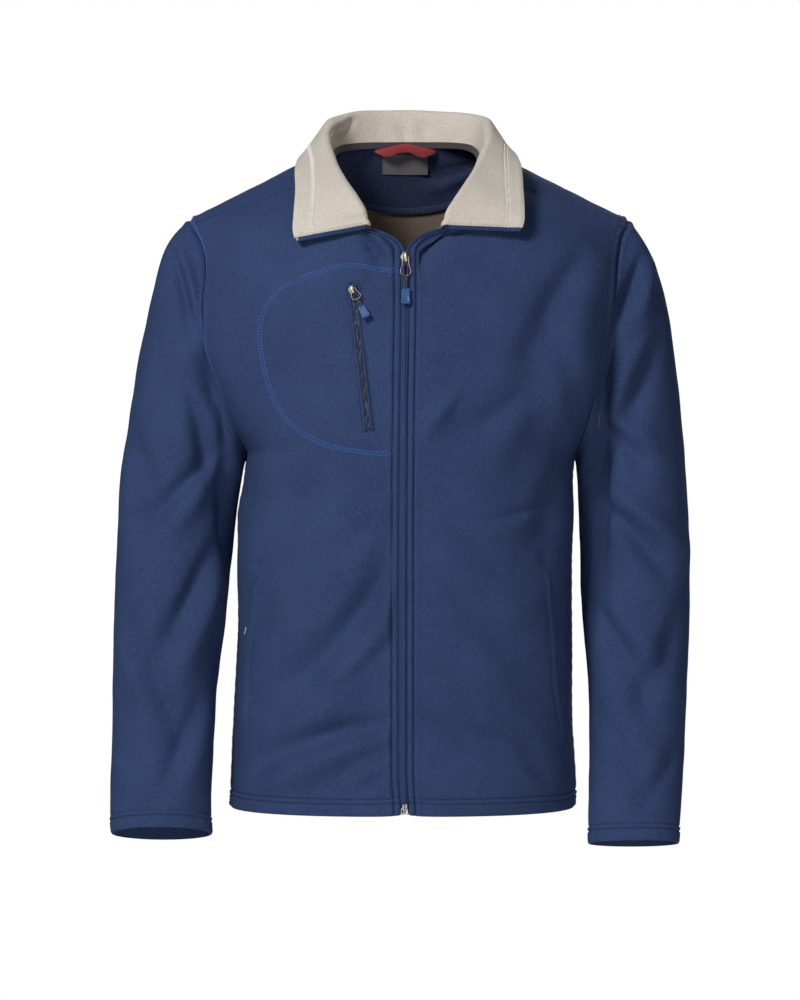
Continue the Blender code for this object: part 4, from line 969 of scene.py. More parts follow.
def laid(search, x, z, from_y, lift):
    """Points in the front view laid on a surface and moved off it, with their facings."""
    towards = Vector((0, -1 if from_y > 0 else 1, 0))
    rows = []
    for a, b in zip(np.ravel(x), np.ravel(z)):
        start = Vector((a, from_y, b))
        place, normal, _, _ = search.ray_cast(start, towards)
        if place is None:
            place, normal, _, _ = search.find_nearest(start)
        if normal.dot(towards) > 0:
            normal = -normal
        rows.append([*place, *normal])
    rows = np.array(rows).reshape(np.shape(x) + (6,))
    rows[..., :3] += rows[..., 3:] * lift
    return rows


def tree_of(*grids):
    """A search tree on the quads of some grids."""
    points, faces = [], []
    for grid in grids:
        corner = len(points) + np.arange(grid.shape[0] * grid.shape[1]).reshape(grid.shape[:2])
        points += [Vector(p) for p in grid.reshape(-1, 3)]
        a, b, c, d = corner[:-1, :-1], corner[:-1, 1:], corner[1:, 1:], corner[1:, :-1]
        faces += [tuple(map(int, quad)) for quad in np.stack([a, b, c, d], axis=-1).reshape(-1, 4)]
    return BVHTree.FromPolygons(points, faces)


def curve_through(points, count):
    """An even, smooth line through points, as a Catmull-Rom curve."""
    p = np.asarray(points, float)
    p = np.vstack([2 * p[0] - p[1], p, 2 * p[-1] - p[-2]])
    t = np.linspace(0, 1, 12, endpoint=False)[:, None]
    parts = []
    for a, b, c, d in zip(p, p[1:], p[2:], p[3:]):
        squared, cubed = 2 * a - 5 * b + 4 * c - d, 3 * b - a - 3 * c + d
        parts.append(0.5 * (2 * b + (c - a) * t + squared * t**2 + cubed * t**3))
    line = np.vstack(parts + [p[-2:-1]])
    lengths = run(line, 0)
    return read_at(np.linspace(0, lengths[-1], count), lengths, line)


# The D's line in X and Z, from its top on the zip round to its foot, between its two rows.
POCKET_D = """
x        z
-0.0090  -0.1342
-0.0112  -0.1358
-0.0160  -0.1364
-0.0300  -0.1347
-0.0520  -0.1307
-0.0700  -0.1318
-0.0834  -0.1353
-0.1086  -0.1435
-0.1275  -0.1518
-0.1406  -0.1650
-0.1498  -0.1818
-0.1531  -0.2018
-0.1503  -0.2271
-0.1440  -0.2537
-0.1324  -0.2805
-0.1166  -0.2988
-0.0966  -0.3124
-0.0747  -0.3209
-0.0496  -0.3257
-0.0335  -0.3272
-0.0205  -0.3274
-0.0158  -0.3258
-0.0146  -0.3220
"""
D_HALF = 0.0020
front_tree = tree_of(outer_grids["front_right"])
d_line = curve_through(np.stack(list(table(POCKET_D).values()), axis=1), 360)
d_ahead = unit(np.gradient(d_line, axis=0))
d_aside = np.stack([-d_ahead[:, 1], d_ahead[:, 0]], axis=1)
d_rows = [d_line + d_aside * offset for offset in (-D_HALF, D_HALF)]
d_laid = [laid(front_tree, row[:, 0], row[:, 1], FROM_FRONT, 0.0) for row in d_rows]
pocket_seam = flat_seam(*d_laid, pitch=0.0032, size=0.00034, looper=0.22, lift=0.0002)
thread_piece("chest_pocket_stitches", pocket_seam, blue_thread)

# A short bar of stitches holds the foot of the hand pocket's bag on this side.
BAR_TACK = ((-0.1701, -0.5119), (-0.1721, -0.5194))
tack_line = laid(front_tree, *np.linspace(*BAR_TACK, 9).T, FROM_FRONT, 0.0)
thread_piece("pocket_bar_tack", [plain_row(tack_line, pitch=0.0012, half=0.0005)], white_thread)

# Its zip's slit runs down from the slider, slanting to the middle.
CHEST_TOP, CHEST_BOTTOM = np.array([-0.0560, -0.1520]), np.array([-0.0385, -0.3020])
LIP_IN, LIP_OUT, LIP_HIGH = 0.0023, 0.0053, 0.0024  # a lip's edges from the slit, and its height
COIL_HALF, COIL_LIFT, COIL_RIB = 0.0025, 0.0008, 0.00072


def tube_mesh(bm, rings, closed=False):
    """Joins rings of points into a tube, closed at its ends or run round on itself."""
    loops = [[bm.verts.new(p) for p in ring] for ring in rings]
    pairs = list(zip(loops, loops[1:])) + ([(loops[-1], loops[0])] if closed else [])
    for a, b in pairs:
        for k in range(len(a)):
            n = (k + 1) % len(a)
            bm.faces.new((a[k], a[n], b[n], b[k]))
    if not closed:
        bm.faces.new(loops[0][::-1])
        bm.faces.new(loops[-1])


chest_t = np.linspace(-0.02, 1.015, 180)
chest_line = CHEST_TOP + (CHEST_BOTTOM - CHEST_TOP) * chest_t[:, None]
chest_mid = laid(front_tree, chest_line[:, 0], chest_line[:, 1], FROM_FRONT, 0.0)
chest_out = unit(chest_mid[:, 3:] + 1e-9)
for _ in range(12):  # the slit is straight, and evens out the nap under it
    chest_out[1:-1] = unit(chest_out[:-2] + chest_out[1:-1] + chest_out[2:])
    chest_mid[1:-1, :3] = (chest_mid[:-2, :3] + chest_mid[1:-1, :3] + chest_mid[2:, :3]) / 3
chest_along = unit(np.gradient(chest_mid[:, :3], axis=0))
chest_across = unit(np.cross(chest_out, chest_along))
# the lips are together at both ends, and part sooner at the foot
chest_ends = np.clip((chest_t + 0.02) / 0.03, 0, 1) ** 0.5 * np.clip((1.02 - chest_t) / 0.008, 0, 1) ** 0.3
lips = bmesh.new()
for sign in (1, -1):
    rings = []
    for k in range(len(chest_t)):
        open_by = chest_ends[k]
        # narrower and lower towards the slit's ends, with a little wander in its height
        inner, outer = LIP_IN * open_by + 0.0002, LIP_OUT * (0.45 + 0.55 * open_by)
        high = LIP_HIGH * (0.35 + 0.65 * open_by) * (1 + 0.06 * np.sin(k * 0.9) * np.sin(k * 0.23))
        roll = [(inner + 0.0004, -0.0006), (inner - 0.0001, 0.35 * high), (inner, 0.75 * high)]
        roll += [(inner + 0.0006, high), (outer - 0.0014, 0.94 * high), (outer - 0.0006, 0.66 * high)]
        groove = [(outer, -0.0002), (outer + 0.0006, -0.0002)]
        beside = [(outer + 0.0012, 0.35 * high), (outer + 0.0020, 0.30 * high), (outer + 0.0036, -0.0006)]
        section = roll + groove + beside
        ring = [chest_mid[k, :3] + sign * chest_across[k] * e + chest_out[k] * d for e, d in section]
        rings.append(ring if sign > 0 else ring[::-1])
    tube_mesh(lips, rings)
chest_lips = finish_mesh("chest_pocket_lips", lips, [navy_fleece], 60)

coil = bmesh.new()
rings = []
for k, t in enumerate(np.linspace(0.0, 1.0, 150)):
    c, o, a = (read_at(t, chest_t, rows[:, :3]) for rows in (chest_mid, chest_out, chest_across))
    rib = 0.55 + 0.45 * (k % 2)
    section = [(-1, -0.9), (-1, 0), (-0.55, rib), (-0.12, rib), (0, 0.25)]
    section += [(-e, d) for e, d in section[-2::-1]]
    rings.append([c + a * e * COIL_HALF + o * (COIL_LIFT + d * COIL_RIB) for e, d in section])
tube_mesh(coil, rings)


def ribs(tree, aside, slant, along, rib_mm):
    """The height, from -1 to 1, of ribs that far apart, slanted by a share of the way aside."""
    place = node(tree, "ShaderNodeMath", {0: aside, 1: slant, 2: along}, operation="MULTIPLY_ADD")
    turns = {0: place.outputs[0], 1: 2000 * pi / rib_mm}
    turned = node(tree, "ShaderNodeMath", turns, operation="MULTIPLY")
    return node(tree, "ShaderNodeMath", {0: turned.outputs[0]}, operation="SINE").outputs[0]


def flecked(tree, ground, fleck, height, bare, edge):
    """A ground colour with flecks where a noise is over bare."""
    where = node(tree, "ShaderNodeMapRange", {"Value": height, "From Min": bare, "From Max": bare + edge})
    both = {0: where.outputs[0], 6: ground, 7: linear(fleck)}
    return node(tree, "ShaderNodeMix", both, data_type="RGBA").outputs[2]


def zip_tape(name, base, fleck, rib_mm, spot_scale, bare):
    """Woven tape and nylon coil: fine slanting ribs, and here and there a paler fleck, drawn out along it.
    """
    mat, tree, shader = new_material(name, base, 0.75, Specular_IOR_Level=0.25)
    place = object_place(tree)
    split = node(tree, "ShaderNodeSeparateXYZ", {0: place}).outputs
    aside = node(tree, "ShaderNodeMath", {0: split["X"]}, operation="ABSOLUTE")
    drawn_out = node(tree, "ShaderNodeVectorMath", {0: place, 1: (1.0, 1.0, 0.1)}, operation="MULTIPLY")
    spots = noise(tree, drawn_out.outputs[0], spot_scale, detail=1.0)
    tree.links.new(flecked(tree, linear(base), fleck, spots, bare, 0.1), shader.inputs["Base Color"])
    bump_by(tree, shader, ribs(tree, aside.outputs[0], 0.8, split["Z"], rib_mm), 0.00012)
    return mat


chest_coil_mat = zip_tape("nylon_coil_navy", "#28324C", "#5C6479", 1.2, 900.0, 0.50)
front_tape_mat = zip_tape("zip_tape_blue", "#2E4068", "#4C5672", 1.6, 560.0, 0.66)
chest_coil = finish_mesh("chest_zip_coil", coil, [chest_coil_mat], 40)
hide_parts("chest_zip")

# ---- collar --------------------------------------------------------------------------------
# A turned-down collar of two layers, navy fleece under and beige fleece over, bagged out and topstitched
# along its fall in white. The zip runs on up its front ends to a stop at each point.

COLLAR = """
right_roll  left_roll  roll_y   roll_z   right_edge  left_edge  edge_y   right_edge_z  left_edge_z  radius
0.0430      0.0440     -0.1120  -0.0880  0.1170      0.1225     -0.1040  -0.1010       -0.0905      0.0052
0.0440      0.0450     -0.1120  -0.0745  0.1190      0.1248     -0.1010  -0.0900       -0.0800      0.0055
0.0520      0.0530     -0.1035  -0.0590  0.1180      0.1250     -0.0930  -0.0720       -0.0650      0.0058
0.0650      0.0670     -0.0840  -0.0390  0.1170      0.1245     -0.0750  -0.0490       -0.0450      0.0060
0.0780      0.0820     -0.0480  -0.0130  0.1185      0.1240     -0.0430  -0.0240       -0.0210      0.0062
0.0870      0.0930     -0.0060   0.0170  0.1190      0.1215     -0.0020  -0.0100       -0.0060      0.0064
0.0840      0.0930      0.0380   0.0390  0.1110      0.1180      0.0500   0.0010        0.0030      0.0066
0.0540      0.0590      0.0760   0.0520  0.0680      0.0730      0.0940   0.0110        0.0110      0.0068
0.0280      0.0300      0.0850   0.0542  0.0360      0.0390      0.1055   0.0140        0.0140      0.0069
0.0000      0.0000      0.0880   0.0550  0.0000      0.0000      0.1090   0.0150        0.0150      0.0070
"""
COLLAR_LAYER = 0.0017
SEAM_GAP = 0.0003
FALL_BOW = 0.0008
BACK_MIRROR = 13  # a back row and its place round the neck add up to this
STAND_SHARES = np.linspace(0, 1, 11)[:-1]
ROLL_STEPS = np.linspace(0, 1, 15)[:, None]
LEAST_TURN = 0.60 * pi  # near the front ends, where the fall lies almost flat out from the stand
FALL_SHARES = np.linspace(0, 1, 30)[1:]


def collar_surface():
    """The beige surface from the neck seam over the roll to the free edge, right end to left end."""
    t = table(COLLAR)
    front_at = FRONT_AT[first_row["front_neck"] :] - UNDERARM_ROW - FRONT_NECK_ROW
    back_rows = np.arange(len(BACK_AT) - 2, first_row["back_neck"] - 1, -1)
    at = np.concatenate([front_at, BACK_MIRROR - (BACK_AT[back_rows] - UNDERARM_ROW)])
    radius = smooth(t["radius"], at)[:, None, None]
    halves = []
    for side, sign in (("right", -1), ("left", 1)):
        front_seam = seams["front_" + side][first_row["front_neck"] :, 0]
        seam = np.vstack([front_seam, seams["back_" + side][back_rows, 0]])
        roll_columns = (sign * t[side + "_roll"], t["roll_y"], t["roll_z"])
        edge_columns = (sign * t[side + "_edge"], t["edge_y"], t[side + "_edge_z"])
        roll = np.stack([smooth(c, at) for c in roll_columns], axis=1)
        edge = np.stack([smooth(c, at) for c in edge_columns], axis=1)
        up, down = unit(roll - seam), unit(edge - roll)
        out = unit(down - (down * up).sum(axis=1, keepdims=True) * up)
        start = seam - out * (2 * COLLAR_LAYER + SEAM_GAP) + up * SEAM_GAP
        up, out, roll, edge, start = (v[:, None] for v in (up, out, roll, edge, start))
        centre = roll - up * radius
        turn_in = centre - out * radius
        fall_out, fall_down = ((down[:, None] * way).sum(axis=2) for way in (out, -up))
        leaning = np.arctan2(fall_out, fall_down)[..., None]
        angle = pi - np.maximum(pi - leaning, LEAST_TURN) * ROLL_STEPS
        stand = start + (turn_in - start) * STAND_SHARES[:, None]
        arc = centre + (np.cos(angle) * out + np.sin(angle) * up) * radius
        turn_out = arc[:, -1:]
        bow = np.sin(pi * FALL_SHARES[:, None]) * FALL_BOW
        fall = turn_out + (edge - turn_out) * FALL_SHARES[:, None] + out * bow
        halves.append(np.concatenate([stand, arc, fall], axis=1))
    return np.concatenate([halves[0], halves[1][-2::-1]])


COLLAR_STITCHES = (0.0150, 0.0190)  # from the free edge
STITCHES_STRAY = 0.0040  # they lie further in at the right end
END_STITCH = 0.0078  # from the front ends
COLLAR_UNEVEN = 0.0009
END_FULL, END_DIP = 0.0007, 0.0008  # how full its front ends are, and how deep their stitches lie
EDGE_FULL, EDGE_DIP = 0.0006, 0.0007  # the same for its free edge
EDGE_ROUND = 0.0006
collar_form = collar_surface()
collar_facing = grid_normals(collar_form)
if collar_facing[len(collar_form) // 2, 0, 1] > 0:
    collar_facing = -collar_facing
from_edge = run(collar_form, 1, True)
from_end = np.minimum(run(collar_form, 0), run(collar_form, 0, True))
inner_side = collar_facing[..., 1] < -0.2
# Soft creases of the inside at the back, as rows of the folds' tables.
CORNER_CREASE = [(-0.058, 0.042, -0.078, 0.021, 0.0056, 0.0040, 0.002, 0.5, -1)]
BACK_DENTS = [
    (0.012, 0.042, 0.024, 0.022, 0.0034, 0.0065, 0.003, 0.5, 1),
    (-0.008, 0.040, 0.004, 0.018, 0.0026, 0.0065, 0.0, 0.5, 1),
    (0.072, 0.032, 0.044, 0.014, 0.0030, 0.0065, 0.0, 0.5, 1),
]
behind = np.clip((collar_form[..., 1] + 0.010) / 0.01, 0, 1) * inner_side
rise = (fold_rise(collar_form, CORNER_CREASE) + fold_rise(collar_form, BACK_DENTS)) * behind
rise += COLLAR_UNEVEN * unevenness(collar_form, 0.060, 8) * np.clip(run(collar_form, 1) / 0.015, 0, 1)
# the ends and the free edge are full up to their stitches, which sink in the nap
rise += END_FULL * bell(from_end - 0.0035, 0.0030) - END_DIP * bell(from_end - END_STITCH, 0.0012)
rise += EDGE_FULL * bell(from_edge - 0.004, 0.004)
stray = STITCHES_STRAY * np.clip(1 - 2 * np.linspace(0, 1, len(collar_form)), 0, 1)[:, None] ** 0.5
for at in COLLAR_STITCHES:
    rise -= EDGE_DIP * bell(from_edge - stray - at, 0.0011)
collar = collar_form + collar_facing * rise[..., None]
layers = [0.0, COLLAR_LAYER, COLLAR_LAYER + SEAM_GAP, 2 * COLLAR_LAYER + SEAM_GAP]
beige_top, beige_under, navy_top, navy_under = (collar - collar_facing * depth for depth in layers)
# the beige layer's edges are rolled under, and the navy one shows a little past them at the ends
round_off = EDGE_ROUND * (bell(from_edge, 0.0010) + bell(from_end, 0.0010))
beige_top = beige_top - collar_facing * round_off[..., None]
facing_piece = cloth_mesh("collar_facing_cloth", [(beige_top, beige_under, 0)], [beige_fleece])
under_piece = cloth_mesh("collar_under_cloth", [(navy_top, navy_under, 0)], [navy_fleece])
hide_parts("collar_facing")
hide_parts("collar_outer")
collar_with = np.concatenate([beige_top, collar_facing], axis=2)
collar_rows = [line_at(collar_with, from_edge - stray, at, True) for at in COLLAR_STITCHES]
# the thread stands up along the right half and has sunk in along the left one
THREAD_PARTS = 12
collar_seam = []
cuts = np.linspace(0, len(collar) - 1, THREAD_PARTS + 1).astype(int)
for a, b in zip(cuts, cuts[1:]):
    sunk = np.clip((a + b) / len(collar) - 0.5, 0, 1)
    row_parts = [row[a : b + 1] for row in collar_rows]
    size, looper, lift = 0.00056 - 0.00016 * sunk, 0.75 - 0.45 * sunk, 0.0005 - 0.0004 * sunk
    collar_seam += flat_seam(*row_parts, pitch=0.0021, size=size, looper=looper, lift=lift)
thread_piece("collar_stitches", collar_seam, white_thread)

# ---- inside the back neck ------------------------------------------------------------------
# A navy half-moon of fleece is sewn inside the back with a flat seam. The neck seam is covered by a
# taupe twill tape, which holds a bare woven label and a red ribbon loop for a hook.

inside_tree = tree_of(inner_grids["back_right"], inner_grids["back_left"])
YOKE_HALF, YOKE_DEPTH, YOKE_THICK = 0.082, 0.063, 0.0010
YOKE_TOP, YOKE_DROP = 0.0112, 0.0142
YOKE_ROWS = (0.0028, 0.0068)  # how far its seam's rows lie from its lower edge
yoke_s = np.sin(np.linspace(-pi / 2, pi / 2, 61))
yoke_t = np.linspace(0, 1, 32)[:, None]
yoke_x = np.broadcast_to(yoke_s * YOKE_HALF, (len(yoke_t), len(yoke_s))).copy()
yoke_top = YOKE_TOP - YOKE_DROP * yoke_s**8
yoke_low = np.minimum(YOKE_TOP - YOKE_DEPTH * (1 - yoke_s**2) ** 0.26, yoke_top) - 0.006
yoke_far = laid(inside_tree, yoke_x, yoke_top * (1 - yoke_t) + yoke_low * yoke_t, 0.0, SEAM_GAP)
YOKE_CREASE = [(0.078, -0.004, 0.020, -0.018, 0.0046, 0.006, 0.002, 0.6, 1)]
YOKE_LIFT = 0.0022  # of its fleece off the back, so that its crease has room
yoke_rise = fold_rise(yoke_far[..., :3], YOKE_CREASE)
yoke_full = YOKE_THICK + np.maximum(yoke_rise + YOKE_LIFT, 0)
yoke_near = yoke_far[..., :3] + yoke_far[..., 3:] * yoke_full[..., None]
# the half-moon is the body's navy fleece, coloured darker and greyer here as painted shade inside the neck
yoke_fleece_painted_shade = fleece("brushed_fleece_navy_yoke_painted_shade", "#343D5B", 1.5, 0.34, 0.04, 0.0009)
yoke_piece = cloth_mesh("back_neck_yoke_cloth", [(yoke_near, yoke_far[..., :3], 0)], [yoke_fleece_painted_shade])
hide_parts("back_neck_yoke")
yoke_with = np.concatenate([yoke_near, yoke_far[..., 3:]], axis=2)[:, 3:-3]
from_low = run(yoke_with[..., :3], 0, True)
yoke_rows = [line_at(yoke_with, from_low, at, False) for at in YOKE_ROWS]
neck_thread = thread("polyester_thread_mid_blue", "#46618F")
thread_piece("back_neck_stitches", flat_seam(*yoke_rows), neck_thread)


def ribbon_cloth(name, colour, rib_mm, across, roughness=0.7, sheen=0.2):
    """Woven ribbon: fine ribs of its weave, slanted for a twill, with a painted highlight on their tops and
    painted shade between them.
    """
    mat, tree, shader = new_material(name, colour, roughness, Sheen_Weight=sheen)
    split = node(tree, "ShaderNodeSeparateXYZ", {0: object_place(tree)}).outputs
    rib = ribs(tree, split["X"], across, split["Z"], rib_mm)
    # the colour follows the ribs' height, lighter on their tops and darker between them: painted highlight
    # and shade
    reach = {"From Min": -1.0, "To Min": 0.78, "To Max": 1.12}
    tone = node(tree, "ShaderNodeMapRange", {"Value": rib, **reach})
    colour_times(tree, shader, colour, tone.outputs[0])
    bump_by(tree, shader, rib, 0.0001)
    return mat


taupe_twill = ribbon_cloth("twill_tape_taupe", "#473E43", 1.1, 1.0)
red_twill = ribbon_cloth("twill_ribbon_red", "#A83338", 1.0, 1.0, 0.6, 0.3)
label_cloth = ribbon_cloth("woven_label_charcoal", "#757078", 0.5, 0.0, 0.5, 0.1)

# The collar's turn is closed at each front end with a bit of the same tape.
TURN = slice(1, len(STAND_SHARES) + len(ROLL_STEPS) + 7)
TURN_TIP = (0.0312, -0.1050, -0.0912)  # its corner by the neck seam, on the left
for side, first, second, sign in (("right", 0, 1, -1), ("left", -1, -2, 1)):
    turn = beige_under[first, TURN] + collar_facing[first, TURN] * 0.0004
    turn = np.vstack([[np.array(TURN_TIP) * (sign, 1, 1)], turn])
    away = unit(collar[first, TURN] - collar[second, TURN]).mean(axis=0)
    bm = bmesh.new()
    tube_mesh(bm, [turn + away * 0.0001, turn + away * 0.0009])
    end_piece = finish_mesh("collar_end_tape_" + side, bm, [taupe_twill])

TAPE_DROP, TAPE_HIGH, THIN = 0.006, 0.007, 0.0008
tape_from = len(FRONT_AT) - first_row["front_neck"] + 1
stations = slice(tape_from, len(collar) - tape_from)
stand_base = collar_form[stations, :2]
stand_up = unit(stand_base[:, 1] - stand_base[:, 0])
seam_line = stand_base[:, 0] + collar_facing[stations, 0] * SEAM_GAP * 1.5
for _ in range(6):  # the tape is stiffer than the fleece, and runs smoothly
    stand_up[1:-1] = unit(stand_up[:-2] + stand_up[1:-1] + stand_up[2:])
    seam_line[1:-1] = (seam_line[:-2] + 2 * seam_line[1:-1] + seam_line[2:]) / 4
tape_rises = np.linspace(-TAPE_DROP, TAPE_HIGH - TAPE_DROP, 5)
tape_far = np.stack([seam_line + stand_up * rise for rise in tape_rises])
tape_facing = np.stack([collar_facing[stations, 0]] * len(tape_rises))
tape_piece = cloth_mesh("neck_tape_ribbon", [(tape_far + tape_facing * THIN, tape_far, 0)], [taupe_twill])
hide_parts("neck_tape")

LABEL_RIGHT, LABEL_LEFT, LABEL_TOP, LABEL_BOTTOM = -0.0257, 0.0249, 0.0062, -0.0146
LABEL_FOLD = 0.0088  # of its foot, where the label is doubled
label_across = np.linspace(LABEL_RIGHT, LABEL_LEFT, 31)
label_x, label_z = np.meshgrid(label_across, np.linspace(LABEL_TOP, LABEL_BOTTOM, 25))
label_far = laid(inside_tree, label_x, label_z, 0.0, SEAM_GAP * 2 + YOKE_THICK + YOKE_LIFT)
step = 0.0005 / (1 + np.exp((label_z - LABEL_BOTTOM - LABEL_FOLD) / 0.0002))
label_thick = (THIN + step + 0.0004 * unevenness(label_far[..., :3], 0.05, 4))[..., None]
label_near = label_far[..., :3] + label_far[..., 3:] * label_thick
label_piece = cloth_mesh("neck_label_bare", [(label_near, label_far[..., :3], 0)], [label_cloth])
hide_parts("neck_label")

LOOP = """
s      top     low
-1.00  0.0092  0.0080
-0.82  0.0104  0.0042
-0.60  0.0119  0.0020
-0.30  0.0143  0.0048
-0.05  0.0159  0.0067
0.10   0.0160  0.0066
0.30   0.0143  0.0036
0.56   0.0121  0.0010
0.80   0.0103  0.0034
1.00   0.0088  0.0076
"""
LOOP_REACH, LOOP_BOW = 0.0345, 0.0124  # half its width, and how far its middle stands off the neck
LOOP_Z = 0.0085
LOOP_CLEAR, TWILL = 0.0020, 0.0012
LOOP_EDGE = 0.0010  # how far its edges turn back
LOOP_SHARES = np.linspace(0.5, -0.5, 7)
loop_s = np.linspace(-1, 1, 65)
arch = 1 - loop_s**2
loop_form = table(LOOP)
loop_at = np.interp(loop_s, loop_form["s"], np.arange(len(loop_form["s"])))
loop_top, loop_low = (smooth(loop_form[side], loop_at) for side in ("top", "low"))
loop_x = np.stack([loop_s * LOOP_REACH] * len(LOOP_SHARES))
loop_z = np.full_like(loop_x, LOOP_Z)
loop_face = laid(inside_tree, loop_x, loop_z, 0.0, YOKE_THICK + LOOP_CLEAR)[..., :3]
loop_face[..., 1] -= LOOP_BOW * arch**0.5
for k, share in enumerate(LOOP_SHARES):
    loop_face[k, :, 2] = (loop_top + loop_low) / 2 + (loop_top - loop_low) * share
    loop_face[k, :, 1] += LOOP_EDGE * (2 * share) ** 2 * arch
loop_along = np.gradient(loop_face[0], axis=0)
loop_out = unit(np.stack([loop_along[:, 1], -loop_along[:, 0], 0 * loop_s], axis=1))
loop_piece = cloth_mesh("hang_loop_ribbon", [(loop_face + loop_out * TWILL, loop_face, 0)], [red_twill])
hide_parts("hang_loop")

# ---- front zip -----------------------------------------------------------------------------
# A reversed coil zip: what shows is the smooth woven back of its two tapes, 8 mm wide when closed,
# with the coil's turns as fine ribs at the middle. It ends in a pin and box at the hem.

PARTED_REACH = 0.0037  # of each half past its front's edge, above the slider
TAPE_SUNK = 0.0013  # of its face below the front's edge
TAPE_UNDER = 0.0090  # how far it runs in under the front
CHAIN_FROM = len(STAND_SHARES) + 10  # where on the collar's end the coil comes out of the turn
for side in ("right", "left"):
    name = "front_" + side
    rows = slice(1, first_row["front_neck"] + 1)
    edge = seams[name][rows, 0]
    n = grid_facing[name][rows, 0].copy()
    n[:, 0] = 0
    n = unit(n)
    along = unit(np.gradient(edge, axis=0))
    out = unit(np.cross(along, n))
    out *= np.sign((out[:1] * [1 if side == "right" else -1, 0, 0]).sum())
    closed = np.clip((PARTED_AT - edge[:, 2]) / (PARTED_AT - PARTED_FROM), 0, 1)
    reach = np.abs(edge[:, 0]) * closed + PARTED_REACH * (1 - closed) + 0.0003
    flange = np.full(len(edge), TAPE_UNDER)
    flange[-6:] = np.linspace(0.0080, 0.0030, 6)  # it is cut away on its last rows, under the collar
    rings = []
    for k in range(len(edge)):
        c = reach[k]
        section = (
            # outward from the front's edge, and depth: the flange, the flat of the tape, the coil's ridge
            (-flange[k], 0.0027),
            (-0.0006, 0.0027),
            (min(0.0006, c - 0.0002), TAPE_SUNK + 0.0003),
            (max(c - 0.0032, 0.0007), TAPE_SUNK),
            (max(c - 0.0026, 0.0008), TAPE_SUNK - 0.0003),
            (max(c - 0.0012, 0.0009), TAPE_SUNK - 0.0009),
            (max(c - 0.0004, 0.0010), TAPE_SUNK - 0.0004),
            (c, TAPE_SUNK + 0.0006),
            (c - 0.0003, 0.0031),
            (-flange[k], 0.0032),
        )
        rings.append([edge[k] + out[k] * e - n[k] * d for e, d in section])
    bm = bmesh.new()
    tube_mesh(bm, rings)
    tape = finish_mesh("front_zip_tape_" + side, bm, [front_tape_mat])
    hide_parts("zip_tape_" + side)

    # the same half runs on along the collar's front end, up to its stop
    first, second = (0, 1) if side == "right" else (-1, -2)
    under = collar[first] - collar_facing[first] * (COLLAR_LAYER + SEAM_GAP / 2)
    away = unit(collar[first] - collar[second])
    chain = [rows[CHAIN_FROM:] for rows in (under, away, collar_facing[first])]
    count = len(chain[0])
    fine = np.linspace(0, count - 2.2, count * 4)
    under, away, face = (read_at(fine, np.arange(count), rows) for rows in chain)
    rings = []
    for k in range(len(fine)):
        rib = 0.0010 + 0.0004 * (k % 2)
        section = [(SEAM_GAP, 0.0010), (0.0028, 0.0012), (0.0042, rib), (0.0046, 0)]
        section += [(e, -d) for e, d in section[-2::-1]]
        rings.append([under[k] + away[k] * e + face[k] * d for e, d in section])
    bm = bmesh.new()
    tube_mesh(bm, rings)
    collar_zip = finish_mesh("collar_zip_tape_" + side, bm, [front_tape_mat])
    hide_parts("collar_zip_" + side)

# ---- sliders and pulls ---------------------------------------------------------------------
# Two die-cast sliders in nickel plate, each with a hood over the bar of its wire bail. A braided cord is
# doubled through the bail and ends in a moulded tab. The bail, cord and tab swing on the bar as one.

BAR_OUT = 0.0032  # how far the bail's bar stands off the zip


def trim_frame(place, across, outward):
    """A trim's frame: X across the zip, -Y out of it and Z up along it."""
    x, y = Vector(across).normalized(), -Vector(outward).normalized()
    columns = (x, y, x.cross(y).normalized(), Vector(place))
    return Matrix([[column[row] for column in columns] for row in range(3)] + [[0, 0, 0, 1]])


def trim(name, frame, mats, add_to, body="jacket"):
    """Makes a trim with add_to(bm), upright round its origin, and puts it in its frame."""
    bm = bmesh.new()
    add_to(bm)
    bmesh.ops.transform(bm, matrix=frame, verts=bm.verts)
    return finish_mesh(name, bm, mats, 40, body)


def mirrored(right_half):
    """A closed outline from its +X half, listed from its middle down to its middle."""
    return right_half + [(-x, z) for x, z in right_half[-2:0:-1]]


def rounded(right_half, count):
    """A smooth closed outline through a mirrored half."""
    outline = mirrored(right_half)
    return curve_through(outline + outline[:1], count + 1)[:-1]


def stacked(bm, outline, layers):
    """A plate: its outline in X and Z, at the depths and shares of its size given in layers."""
    middle = np.mean(outline, axis=0)
    rings = []
    for depth, share in layers:
        rings.append([(x, depth, z) for x, z in middle + (np.asarray(outline) - middle) * share])
    tube_mesh(bm, rings)


WIRE_TURN = np.linspace(0, 2 * pi, 10, endpoint=False)


def wire(bm, path, radius, closed=False):
    """A round wire or cord along a path."""
    path = np.asarray(path, float)
    ahead = np.roll(path, -1, axis=0) - np.roll(path, 1, axis=0) if closed else np.gradient(path, axis=0)
    ahead = unit(ahead)
    side = unit(np.cross(ahead, (0, 1, 0)))
    up = np.cross(ahead, side)
    radius = np.broadcast_to(radius, (len(path), len(WIRE_TURN)))
    rings = [
        [p + r * (np.cos(t) * a + np.sin(t) * b) for t, r in zip(WIRE_TURN, around)]
        for p, a, b, around in zip(path, side, up, radius)
    ]
    tube_mesh(bm, rings, closed)


